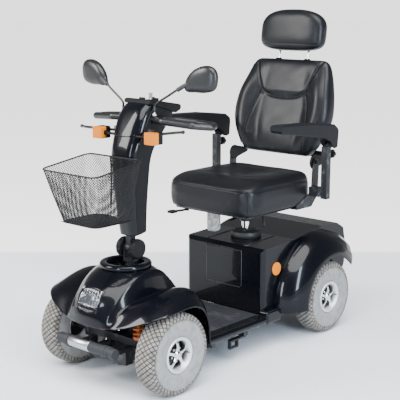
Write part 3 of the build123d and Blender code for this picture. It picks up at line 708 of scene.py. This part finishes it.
# %% seat cushion shape
PAD_X, PAD_Y, PAD_MIDDLE, FRONT_DROP = 242, 235, 230, 13
PAD_PROFILE = [(0.0, 603), (0.5, 602), (0.8, 601), (0.93, 602), (0.975, 607), (0.993, 616),
               (1.0, 634), (1.004, 655), (1.004, 676), (1.0, 696), (0.994, 706), (0.985, 711.5),
               (0.981, 713), (0.985, 714.5), (0.986, 719), (0.972, 729), (0.945, 737),
               (0.90, 743.5), (0.82, 748), (0.7, 750), (0.55, 750.5), (0.4, 749.5), (0.25, 748),
               (0.12, 747), (0.0, 746.8)]


def pad_plan(count):
    a = circle(count)
    return squared(np.cos(a), 7.0), squared(np.sin(a), 7.0), a


def ripple(a, b, scale, seed):
    """Soft irregular waves, repeatable, from a few sines."""
    rng = np.random.RandomState(seed)
    out = 0
    for k in range(7):
        fa, fb = rng.uniform(0.4, 2.2) * scale, rng.uniform(-2.2, 2.2) * scale
        out = out + np.sin(a * fa + b * fb + rng.uniform(0, 6.28)) / (1 + 0.5 * k)
    return out / 3


def cushion_rings(count=240):
    across, along, a = pad_plan(count)
    rings = []
    for s, z in smooth_path(PAD_PROFILE, 110):
        s = max(s, 0.004)
        x, y = PAD_X * s * across, PAD_Y * s * along
        top = ease(z, 706, 745)
        zz = np.full_like(x, z) - top * ease(-y, 120, 228) * FRONT_DROP
        zz = zz + top * ease(y, 150, 226) * 5
        zz = zz - top * 6 * np.exp(-(x / 120) ** 2 - ((y - 60) / 110) ** 2)
        wave = ripple(x / 40, y / 40, 1.0, 3) * 1.6 * top * ease(s, 0.15, 0.6)
        side = ripple(a * 9, z / 16 + 0 * a, 1.0, 5) * 1.3 * ease(s, 0.95, 0.99) * (1 - top)
        out = 1 + side / PAD_Y
        rings.append(np.stack([x * out, y * out + PAD_MIDDLE, zz + wave], 1))
    return np.array(rings)


seat_pad = shell("seat_cushion_skin", cushion_rings(), vinyl, "seat")
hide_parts("cushion")
print("cushion", len(seat_pad.data.vertices), "points")

# %% [markdown]
# ## Seat seams
# A sewn cover has piping where the top panel meets the side band, and a seam down each front
# corner. They follow the formula of the pad's own surface, so they lie on it and don't float.

# %% seat seams
across, along, _ = pad_plan(160)
y = PAD_Y * 0.988 * along
drop = ease(-y, 120, 228) * FRONT_DROP * ease(713.2, 706, 745)
edge = np.stack([PAD_X * 0.988 * across, y + PAD_MIDDLE, 713.2 - drop], 1)
wires("seat_piping", [edge], 2.4, vinyl, "seat", 8, closed=True)
reach = math.sqrt(0.5) ** (2 / 7)
corner = smooth_path([(PAD_X * reach * k, PAD_MIDDLE - PAD_Y * reach * k, z)
                      for k, z in ((0.984, 711), (1.0, 696), (1.004, 660), (1.0, 634),
                                   (0.98, 608))], 24)
wires("seat_corner_seams", [corner, mirrored(corner)], 2.0, vinyl, "seat")
print("seat piping", len(edge), "points")

# %% [markdown]
# ## Backrest lines
# The backrest leans back 15.5 degrees and is waisted. `on_back` works along its slope, so the
# outline and seams can be set out flat, as an upholsterer marks a panel. The seams mark off the
# bolsters, and one hangs like a bib below the top.

# %% backrest lines
LEAN = math.radians(15.5)
BACK_TOP = 441.0
BACK_Y, BACK_Z = 492, 806
SEAM_TOP, BIB_HALF = 292, 124


def on_back(x, v, w):
    """Across, up the slope, and forward of the middle plane."""
    y = BACK_Y + v * math.sin(LEAN) - w * math.cos(LEAN)
    return np.stack([x, y, BACK_Z + v * math.cos(LEAN) + w * math.sin(LEAN)], -1)


OUTLINE = smooth_path([(0, 176), (4, 192), (40, 214), (90, 240), (150, 262), (205, 268),
                       (270, 260), (340, 243), (400, 224), (440, 210), (452, 200)], 200)


def back_half(v):
    return np.interp(v, OUTLINE[:, 0] * BACK_TOP / 452, OUTLINE[:, 1])


def bib_bottom(x):
    return 258 + 34 * np.abs(np.asarray(x, float) / BIB_HALF) ** 3.2


def bib_side(v):
    return BIB_HALF + 0.42 * (np.asarray(v, float) - 290)


def bolster_line(v):
    return 126 + 44 * np.sin(np.clip((SEAM_TOP - np.asarray(v, float)) / 400, 0, 1) * math.pi)


def seam_bib(x, v):
    """Distance to the hanging U seam, whose arms spread toward the top corners."""
    low = np.where(np.abs(x) < BIB_HALF, np.abs(v - bib_bottom(x)), 60)
    high = np.where(v > 288, np.abs(np.abs(x) - bib_side(v)), 60)
    return np.minimum(low, high)


def seam_side(x, v):
    """Distance to the seam between the centre and a bolster."""
    return np.where(v < SEAM_TOP, np.abs(np.abs(x) - bolster_line(v)), 60)


print("backrest half width at its widest", OUTLINE[:, 1].max().round())

# %% [markdown]
# ## Backrest pad
# The sides swell forward into bolsters and fade toward the top, the lower back is a little
# fuller, and each seam pulls the vinyl in. All of these are terms of one depth, so the seams are
# real grooves in the mesh and catch the light from any side.

# %% backrest pad
def front_depth(x, v):
    u = np.abs(x) / back_half(v)
    swell = ease(u, 0.42, 0.86) * (1 - 0.75 * ease(v, 250, 420)) * (0.45 + 0.55 * ease(v, 10, 120))
    centre = 26 + 8 * np.exp(-((v - 110) / 90) ** 2) * (1 - ease(u, 0.3, 0.6))
    bib = 9 * np.exp(-(x / 150) ** 6) * ease(v, 262, 290)
    groove = 7 * np.exp(-(seam_bib(x, v) / 6) ** 2) + 3.5 * np.exp(-(seam_side(x, v) / 6) ** 2)
    pleats = ripple(x / 34, v / 30, 1.0, 9) * 1.5
    return centre + 52 * swell + bib - groove + pleats


def back_rings(count=260, levels=150):
    a = circle(count)
    cx, sy = squared(np.cos(a), 3.4), squared(np.sin(a), 3.0)
    rings = []
    for t in np.linspace(-1, 1, levels):
        t = math.sin(t * math.pi / 2)
        v = BACK_TOP * (0.5 + 0.5 * t)
        k = max((1 - abs(t) ** 9) ** (1 / 2.6), 0.012)
        half = back_half(v) * (0.88 + 0.12 * k)
        x = half * cx
        front = front_depth(x, np.full_like(x, v))
        w = np.where(sy > 0, sy * front * k, sy * 60 * k)
        rings.append(on_back(x, np.full_like(x, v), w))
    return np.array(rings)


back_pad = shell("backrest_skin", back_rings(), vinyl, "backrest")
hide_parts("back_cushion")
print("backrest", len(back_pad.data.vertices), "points")

# %% [markdown]
# ## Backrest seams
# A raised thread runs in each groove, and piping runs up both edges. Each path is found on the
# pad's own depth and lifted by a millimetre.

# %% backrest seams
def on_pad(x, v):
    return on_back(x, v, front_depth(x, v) + 1.0)


low, high = np.linspace(16, SEAM_TOP, 60), np.linspace(SEAM_TOP, 420, 40)
hang = np.linspace(-BIB_HALF, BIB_HALF, 70)
stitches = [on_pad(sx * bolster_line(low), low) for sx in (1, -1)]
stitches.append(on_pad(hang, bib_bottom(hang)))
stitches += [on_pad(sx * bib_side(high), high) for sx in (1, -1)]
wires("backrest_seams", stitches, 1.6, vinyl, "backrest")
piping = []
for sx in (1, -1):
    v = np.linspace(26, 408, 90)
    x = sx * back_half(v) * 0.93
    piping.append(on_back(x, v, front_depth(x, v) * 0.6))
wires("backrest_piping", piping, 2.4, vinyl, "backrest")
print("backrest seams", len(stitches))

# %% [markdown]
# ## Headrest
# A soft block with rounded ends, crowned all over, with one crease near its lower edge. It tilts
# half as far as the backrest. It is drawn the same way as the backrest, and two sockets finish
# the holes that its posts slide in.

# %% headrest
HEAD_Y, HEAD_Z = 612, 1366
HEAD_HALF_WIDTH, HEAD_HALF_HEIGHT = 176, 95


def headrest_rings(count=180, levels=80):
    a = circle(count)
    cx, sy = squared(np.cos(a), 4.2), squared(np.sin(a), 2.7)
    tilt = LEAN / 2
    rings = []
    for t in np.linspace(-1, 1, levels):
        t = math.sin(t * math.pi / 2)
        h = HEAD_HALF_HEIGHT * t
        k = max((1 - abs(t) ** 4.2) ** (1 / 2.3), 0.012)
        wide = max((1 - abs(t) ** (2.5 if t > 0 else 5.5)) ** (1 / (2.5 if t > 0 else 3.2)), 0.012)
        x = HEAD_HALF_WIDTH * wide * cx
        dent = 3.0 * np.exp(-((h + 66) / 4) ** 2)
        w = (48 - dent + 1.2 * ripple(x / 30, h / 24 + 0 * x, 1.0, 21)) * sy * k
        y = HEAD_Y + h * math.sin(tilt) - w * math.cos(tilt)
        z = HEAD_Z + h * math.cos(tilt) + w * math.sin(tilt)
        rings.append(np.stack([x, y, z], 1))
    return np.array(rings)


head_pad = shell("headrest_skin", headrest_rings(), vinyl, "headrest")
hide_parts("headrest")
for sx in (82, -82):
    p = on_back(np.array([sx]), np.array([BACK_TOP - 3]), np.array([0.0]))[0]
    lathe("post_escutcheon", [(-4, 17), (6, 15), (9, 10), (9, 6.8)], p, "Z", satin,
          "backrest", 32)
print("headrest", len(head_pad.data.vertices), "points")

# %% [markdown]
# ## Basket shape
# The tub tapers to a small base, and its rim dips to the front. A point of it is a mix of two
# rounded rectangles, one at the base and one at the rim, so any wire can be laid on it by height
# and by distance round.

# %% basket shape
SAMPLES = 720
BASE_Z, BASE_Y, RIM_Y = 667.0, 637, 657


def rounded_outline(half_x, half_y, radius, count=SAMPLES):
    """Points evenly spaced round a rectangle with round corners."""
    quarter = np.linspace(0, math.pi / 2, 40)
    pts = []
    for k, (sx, sy) in enumerate(((1, 1), (-1, 1), (-1, -1), (1, -1))):
        a = quarter + k * math.pi / 2
        pts.append(np.stack([sx * (half_x - radius) + radius * np.cos(a),
                             sy * (half_y - radius) + radius * np.sin(a)], 1))
    pts = np.concatenate(pts + [pts[0][:1]])
    walk = np.concatenate([[0], np.cumsum(np.hypot(*np.diff(pts, axis=0).T))])
    even = np.linspace(0, walk[-1], count, endpoint=False)
    return np.stack([np.interp(even, walk, pts[:, 0]), np.interp(even, walk, pts[:, 1])], 1)


LOW = rounded_outline(101, 97, 34)
HIGH = rounded_outline(154, 125, 30)


def basket_at(t, u):
    """A point of the tub at height t (0 base, 1 rim) and fraction u round it."""
    k = (np.asarray(u) % 1.0) * SAMPLES
    i = np.floor(k).astype(int) % SAMPLES
    f = (k - np.floor(k))[:, None]
    low = LOW[i] * (1 - f) + LOW[(i + 1) % SAMPLES] * f
    high = HIGH[i] * (1 - f) + HIGH[(i + 1) % SAMPLES] * f
    t = np.asarray(t)[:, None]
    y_high = high[:, 1:] - RIM_Y
    base_z = np.full((len(low), 1), BASE_Z)
    low3 = np.concatenate([low[:, :1], low[:, 1:] - BASE_Y, base_z], 1)
    high3 = np.concatenate([high[:, :1], y_high, 905 + 0.14 * (y_high + 531)], 1)
    sag = 9 * np.sin(np.pi * t) * (0.4 + 0.6 * t)
    out = low3 * (1 - t) + high3 * t
    out[:, 2:] -= sag
    return out


print("rim", HIGH.min(0), HIGH.max(0))

# %% [markdown]
# ## Basket wires
# A real basket is expanded or woven wire in a welded rim. A see-through texture would be lighter,
# but it shows no thickness from the side. Two families of slanted wires cross on the sides and
# base, and thicker wires run round the rim and the bottom edge.

# %% basket wires
height = np.linspace(0, 1, 30)
weave = [basket_at(height, k / 92 + way * 0.24 * height) for k in range(92) for way in (1, -1)]
basket = wires("basket_mesh", weave, 1.2, mesh_wire, "tiller", 4)
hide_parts("basket")
floor_wires = []
for k in range(-19, 20):
    for way in (1, -1):
        along = np.linspace(-1, 1, 49)
        x, y = 10.2 * k + way * 97 * along, 97 * along
        inside = np.abs(x) < 99
        if inside.sum() > 3:
            flat = np.stack([x, y - BASE_Y, np.full_like(x, BASE_Z)], 1)
            floor_wires.append(flat[inside])
wires("basket_base", floor_wires, 1.2, mesh_wire, "tiller", 4)
whole = np.linspace(0, 1, 160, endpoint=False)
wires("basket_rim", [basket_at(np.ones(160), whole)], 3.0, mesh_wire, "tiller", 10,
      closed=True)
wires("basket_foot", [basket_at(np.zeros(160), whole)], 2.2, mesh_wire, "tiller", 8,
      closed=True)
print("basket", len(weave) + len(floor_wires), "wires")

# %% [markdown]
# ## Basket bracket
# Two upright wires and a short crossbar stiffen the back of the tub, where it hangs on the
# tiller.

# %% basket bracket
uprights = [smooth_path([(s * 30, -530, 902), (s * 30, -528, 860), (s * 28, -530, 780),
                         (s * 26, -536, 700)], 20) for s in (1, -1)]
wires("basket_uprights", uprights, 3.4, mesh_wire, "tiller", 8)
wires("basket_crossbar", [[(-30, -527, 868), (0, -527, 868), (30, -527, 868)]], 4.0, mesh_wire,
      "tiller", 8)
print("bracket built")

# %% [markdown]
# ## Front body cage
# The nose, the cowl and both front mudguards are one gloss moulding, with hollows beside the
# cowl. Such a shape is hard to state as a formula. It is set out instead as a coarse cage of rows
# from the lip over the bumper, up over the lamp, and down to the deck. Only half is listed, from
# the middle outward.

# %% front body cage
NOSE = np.array([
    [(0, -714, 264), (58, -710, 264), (104, -700, 268), (122, -694, 270),
     (134, -692, 271), (144, -690, 272), (150, -688, 272)],
    [(0, -716, 300), (56, -712, 302), (106, -692, 306), (128, -676, 302),
     (156, -668, 298), (200, -672, 302), (240, -672, 304)],
    [(0, -708, 320), (60, -704, 320), (112, -664, 345), (140, -636, 338),
     (182, -628, 342), (250, -640, 346), (312, -630, 330)],
    [(0, -669, 404), (60, -665, 404), (120, -612, 402), (142, -590, 352),
     (205, -572, 378), (275, -575, 374), (334, -560, 345)],
    [(0, -622, 440), (64, -612, 440), (126, -556, 436), (146, -530, 356),
     (212, -505, 402), (292, -500, 396), (338, -482, 352)],
    [(0, -580, 466), (66, -566, 466), (127, -498, 457), (148, -470, 362),
     (216, -440, 412), (300, -432, 404), (336, -418, 344)],
    [(0, -486, 470), (72, -486, 470), (127, -440, 457), (148, -410, 358),
     (218, -388, 406), (302, -385, 392), (336, -376, 310)],
    [(0, -395, 466), (66, -400, 466), (124, -372, 440), (148, -352, 330),
     (218, -330, 368), (300, -340, 340), (334, -352, 255)],
    [(0, -345, 400), (66, -345, 398), (120, -322, 370), (160, -300, 310),
     (220, -292, 300), (290, -310, 275), (330, -345, 200)],
    [(0, -305, 300), (66, -305, 298), (120, -296, 285), (165, -280, 240),
     (215, -272, 225), (275, -290, 200), (328, -341, 165)],
    [(0, -270, 200), (66, -270, 200), (120, -270, 195), (170, -266, 180),
     (215, -262, 170), (262, -282, 160), (326, -338, 147)],
    [(0, -263, 156), (66, -263, 156), (120, -263, 156), (170, -263, 156),
     (210, -263, 156), (252, -272, 152), (320, -334, 147)]], float)
print("front cage", NOSE.shape)

# %% [markdown]
# ## Front body
# The half cage is copied across the middle and smoothed by subdivision. Creases keep the ridge
# beside the lamp and the edge of the lamp opening crisp. Faces are left out for the lamp and for
# the tiller, and a turned collar finishes the hole that the tiller passes through.

# %% front body
def add_modifier(obj, kind, **settings):
    modifier = obj.modifiers.new(kind.lower(), kind)
    for key, value in settings.items():
        setattr(modifier, key, value)


OPEN_ROWS = (2, 5, 6)
RIDGE_CREASE, LAMP_CREASE = 0.55, 0.92
cage = np.concatenate([mirrored(NOSE[:, :0:-1]), NOSE], axis=1)
rows, cols = cage.shape[:2]
middle = cols // 2
faces = [(i * cols + j, i * cols + j + 1, (i + 1) * cols + j + 1, (i + 1) * cols + j)
         for i in range(rows - 1) for j in range(cols - 1)
         if not (j in (middle - 1, middle) and i in OPEN_ROWS)]
front_body = surface("front_body", cage.reshape(-1, 3), faces, paint, "chassis")
sharp = front_body.data.attributes.new("crease_edge", "FLOAT", "EDGE")
for edge in front_body.data.edges:
    (i0, j0), (i1, j1) = (divmod(v, cols) for v in edge.vertices)
    side0, side1 = abs(j0 - middle), abs(j1 - middle)
    ridge = side0 == side1 and side0 in (2, 3) and max(i0, i1) <= 7
    near_lamp = side0 <= 1 and side1 <= 1 and {i0, i1} <= {2, 3}
    lamp = near_lamp and (i0 == i1 or side0 == side1 == 1)
    sharp.data[edge.index].value = LAMP_CREASE if lamp else RIDGE_CREASE if ridge else 0.0
add_modifier(front_body, "SUBSURF", levels=3, render_levels=3)
add_modifier(front_body, "SOLIDIFY", thickness=0.005, offset=-1)
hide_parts("front_shroud")
lathe("tiller_collar", [(458, 106), (474, 105), (479, 101), (481, 95), (480.5, 82), (478, 76),
                        (473, 74), (458, 74)], np.array([0, -486, 0.0]), "Z", paint, "chassis",
      loop=True)
print("front body", len(faces), "cage faces")

# %% [markdown]
# ## Tiller sections
# The tiller is a hollow moulding that widens from its foot to its head and leans toward the
# rider. Two curves give its front and rear, and a short table gives its half width. Every height
# then has one rounded section.

# %% tiller sections
FRONT_LINE = smooth_path([(-476, 583), (-487, 640), (-503, 760), (-509, 864), (-504, 923),
                          (-486, 981), (-464, 1038), (-440, 1078), (-412, 1104)], 161)
REAR_LINE = smooth_path([(-402, 596), (-400, 720), (-393, 821), (-386, 880), (-369, 926),
                         (-345, 956), (-329, 974), (-290, 1020), (-262, 1060)], 161)
SIDE_Z, SIDE_X = [560, 650, 780, 905, 985, 1045, 1120], [44, 48, 57, 66, 73, 75, 70]


def tiller_ring(t, angles, grow=0.0):
    """Section of the tiller at t from foot to head; angle 270 degrees is the front."""
    i = t * 160
    front = np.array([np.interp(i, range(161), FRONT_LINE[:, k]) for k in (0, 1)])
    rear = np.array([np.interp(i, range(161), REAR_LINE[:, k]) for k in (0, 1)])
    middle_point, reach_back = (front + rear) / 2, (rear - front) / 2
    depth = np.linalg.norm(reach_back)
    way = reach_back / depth
    along = (depth + grow) * squared(np.sin(angles), 3.6)
    z = middle_point[1] + way[1] * along
    x = (np.interp(z, SIDE_Z, SIDE_X) + grow) * squared(np.cos(angles), 3.6)
    return np.stack([x, middle_point[0] + way[0] * along, z], 1)


print("tiller foot", tiller_ring(0, np.array([0.0]))[0])

# %% [markdown]
# ## Tiller covers
# The front third is a gloss panel that stands a little proud of the satin cover behind it. Both
# are thin sheets, so each is an open surface given a thickness.

# %% tiller covers
levels = np.linspace(0, 1, 70)


def tiller_cover(name, turn, grow, finish, stands_for):
    rings = [tiller_ring(t, turn, grow) for t in levels]
    skin = shell(name, rings, finish, "tiller", wrap=False)
    add_modifier(skin, "SOLIDIFY", thickness=0.003, offset=1)
    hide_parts(stands_for)
    return skin


back_turn = np.radians(np.linspace(-22, 202, 90))
front_turn = np.radians(np.linspace(204, 336, 70))
rear_skin = tiller_cover("tiller_rear_skin", back_turn, 0.0, satin, "tiller_rear_cover")
front_skin = tiller_cover("tiller_front_skin", front_turn, 1.6, paint, "tiller_front_cover")
print("tiller", len(front_skin.data.vertices) + len(rear_skin.data.vertices), "points")

# %% [markdown]
# ## Tiller lid and seam highlights
# A lid with a bowed lower edge covers the upper front, and a bright steel bead along the seam
# between the two covers is a painted highlight, for the light line on the covers' edge. The lid
# follows the same sections, grown by a few millimetres, so it fits without a gap.

# %% tiller lid
lid_turn = np.radians(np.linspace(222, 318, 60))
lid_rows = []
for t in np.linspace(0, 1, 40):
    low = 0.655 - 0.035 * np.cos((lid_turn - math.radians(270)) * 1.9)
    heights = low + (0.972 - low) * t
    lid_rows.append([tiller_ring(float(h), np.array([b]), 3.4)[0]
                     for h, b in zip(heights, lid_turn)])
lid = shell("tiller_lid", lid_rows, paint, "tiller", wrap=False)
add_modifier(lid, "SOLIDIFY", thickness=0.003, offset=1)
add_modifier(lid, "BEVEL", width=0.0012, segments=2)
# Painted highlight: a bright steel bead in each seam stands for the light line on the edge.
seams = [[tiller_ring(t, np.array([math.radians(a)]), 1.2)[0] for t in np.linspace(0.01, 0.99, 60)]
         for a in (203, 337)]
wires("tiller_seam_highlights", seams, 1.1, bright, "tiller", 6)
print("lid", len(lid.data.vertices), "points")

# %% [markdown]
# ## Mirrors
# Each shell is a pebble that narrows toward its stem, with the glass on the rider's side. One
# outline is scaled and pushed back ring by ring. The glass is its own flat sheet, so that it can
# have a mirror finish.

# %% mirrors
PEBBLE = smooth_path([(-78, -34), (-66, 2), (-34, 34), (8, 50), (46, 48), (68, 28), (71, -6),
                      (58, -36), (18, -49), (-30, -50), (-64, -50)], 120, closed=True)
SHELL_STEPS = [(0.93, 10.5), (0.95, 13), (1.0, 12.5), (1.02, 9), (1.02, 3), (0.985, -4),
               (0.90, -10), (0.74, -14.5), (0.5, -17), (0.25, -18), (0.01, -18.3)]
MIRROR_STEM = smooth_path([(88, -402, 1056), (88, -402, 1082), (94, -400, 1106),
                           (160, -392, 1146), (214, -384, 1178), (240, -380, 1190)], 60)
MIRROR_NECK = smooth_path([(196, -386, 1166), (222, -382, 1181), (246, -376, 1192)], 24)


def mirror(side, body):
    centre = np.array([298.0, -366, 1210])
    turn = math.radians(4)

    def ring(scale, back):
        x = (PEBBLE[:, 0] + 10) * scale - 10
        z = PEBBLE[:, 1] * scale
        pts = np.stack([x * math.cos(turn) - back * math.sin(turn),
                        x * math.sin(turn) + back * math.cos(turn), z], 1) + centre
        return pts if side > 0 else mirrored(pts)

    head = shell(body + "_shell", [ring(a, b) for a, b in SHELL_STEPS], gloss, body)
    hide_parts(body)
    shell(body + "_glass", [ring(a, 11) for a in (0.93, 0.6, 0.3, 0.01)], mirror_glass, body)
    for tag, path, radius, finish in (("stem", MIRROR_STEM, 4.6, gloss),
                                      ("neck", MIRROR_NECK, 8.5, rubber)):
        path = path if side > 0 else mirrored(path)
        wires(body + "_" + tag, [path], radius, finish, body, 16)
    foot = np.array([88.0 * side, -402, 0])
    lathe(body + "_foot", [(1057, 10), (1066, 10), (1069, 7), (1074, 6)], foot, "Z", bright,
          body, 6)


mirror(1, "mirror_left")
mirror(-1, "mirror_right")
print("mirrors built")

# %% [markdown]
# ## Rear mudguards
# A smooth skin lies over each rear mudguard, because the CAD one is plainer than a moulded panel.
# Its section is turned about the rear axle, from the sill in front of the wheel, over the top,
# and part of the way down behind.

# %% rear mudguards
GUARD_SECTION = smooth_path([(221, 309), (236, 307), (255, 300), (274, 289), (292, 275),
                             (306, 258), (317, 238), (325, 218), (329.5, 200)], 40)
SIDES = {"left": 1, "right": -1}
for tag, side in SIDES.items():
    rings = []
    for degrees in np.linspace(184, 44, 120):
        a = math.radians(degrees)
        drop = 1 - 0.06 * float(ease(110 - degrees, 0, 66))
        r = GUARD_SECTION[:, 1] * drop
        rings.append(np.stack([side * GUARD_SECTION[:, 0], AXLE_Y + r * math.cos(a),
                               TYRE_R + r * math.sin(a)], 1))
    guard = shell("rear_mudguard_" + tag, rings, paint, "chassis", wrap=False)
    add_modifier(guard, "SOLIDIFY", thickness=0.0035, offset=0)
print("mudguards built")

# %% [markdown]
# ## Access panel and sills
# A shallow lid sits on the front of the rear body, and two short sills join the deck to it.
# Bevelled blocks suit flat mouldings, as the bevel gives every edge a thin highlight.

# %% access panel and sills
def soft_block(name, low, high, finish, body, width=6):
    (x0, y0, z0), (x1, y1, z1) = low, high
    corners = [(x, y, z) for z in (z0, z1) for y in (y0, y1) for x in (x0, x1)]
    sides = [(0, 2, 3, 1), (4, 5, 7, 6), (0, 1, 5, 4), (2, 6, 7, 3), (0, 4, 6, 2), (1, 3, 7, 5)]
    obj = surface(name, corners, sides, finish, body)
    add_modifier(obj, "BEVEL", width=width * MM, segments=5, harden_normals=True)
    return obj


soft_block("access_panel", (-96, 113.6, 258), (106, 119, 424), paint, "chassis", 2.4)
gap = [(x, 114.6, z) for x, z in ((-97, 426), (-97, 268), (-87, 257), (97, 257), (107, 268),
                                  (107, 426))]
wires("panel_gap", [gap], 1.6, rubber, "chassis", 8)
for tag, side in SIDES.items():
    inner, outer = sorted((205 * side, 256 * side))
    soft_block("sill_" + tag, (inner, 112, 116), (outer, 224, 174), paint, "chassis", 12)
lines = [[(x, 134, 446.5), (x, 250, 449.8), (x, 340, 452.4)] for x in (-112, 112)]
wires("deck_lines", lines, 1.4, rubber, "chassis", 8)
print("rear body dressed")

# %% [markdown]
# ## Bumper sleeve
# A bright wrap is bound round the middle of the bumper tube, and a clamp sits near one end. Both
# are turned, a millimetre or two outside the tube.

# %% bumper sleeve
def bumper_band(name, x, profile, finish):
    lathe(name, profile, np.array([x, -700, 180.0]), "X", finish, "chassis", 64)


bumper_band("bumper_sleeve", -48, [(-70, 21.2), (-69, 22), (69, 22), (70, 21.2)], bright)
bumper_band("bumper_clamp", 122, [(-9, 21.4), (-8, 23.5), (8, 23.5), (9, 21.4)], grey_paint)
print("bumper dressed")

# %% [markdown]
# ## The stage
# A pale matt floor carries the soft shadows. It is flat round the scooter, and far away it rises
# a little, so that the camera never looks past its edge. Behind the scooter its colour turns
# nearly white, as where a carpet meets a wall.

# %% stage
floor_paint = Finish("floor", (0.62, 0.64, 0.66), 0.85)
spot = floor_paint.where()
away = spot.part("X") * -0.667 + spot.part("Y") * 0.745
rug = floor_paint.noise(60, 8)
far = away.step(1.62, 1.72)
near_colour = floor_paint.blend(rug, (0.60, 0.63, 0.66), (0.70, 0.73, 0.765))
floor_paint.colour(floor_paint.blend(far, near_colour, (0.95, 0.945, 0.93)))
floor_paint.bump(rug, 0.35, 0.004)

FLAT, FAR, RISE = 60000, 800000, 40000
corners = [(-1, -1), (1, -1), (1, 1), (-1, 1)]
floor_points = [(FLAT * x, FLAT * y, 0) for x, y in corners]
floor_points += [(FAR * x, FAR * y, RISE) for x, y in corners]
floor_faces = [(0, 1, 2, 3)] + [(k, k + 4, (k + 1) % 4 + 4, (k + 1) % 4) for k in range(4)]
floor = surface("floor", floor_points, floor_faces, floor_paint, None, smooth=False)
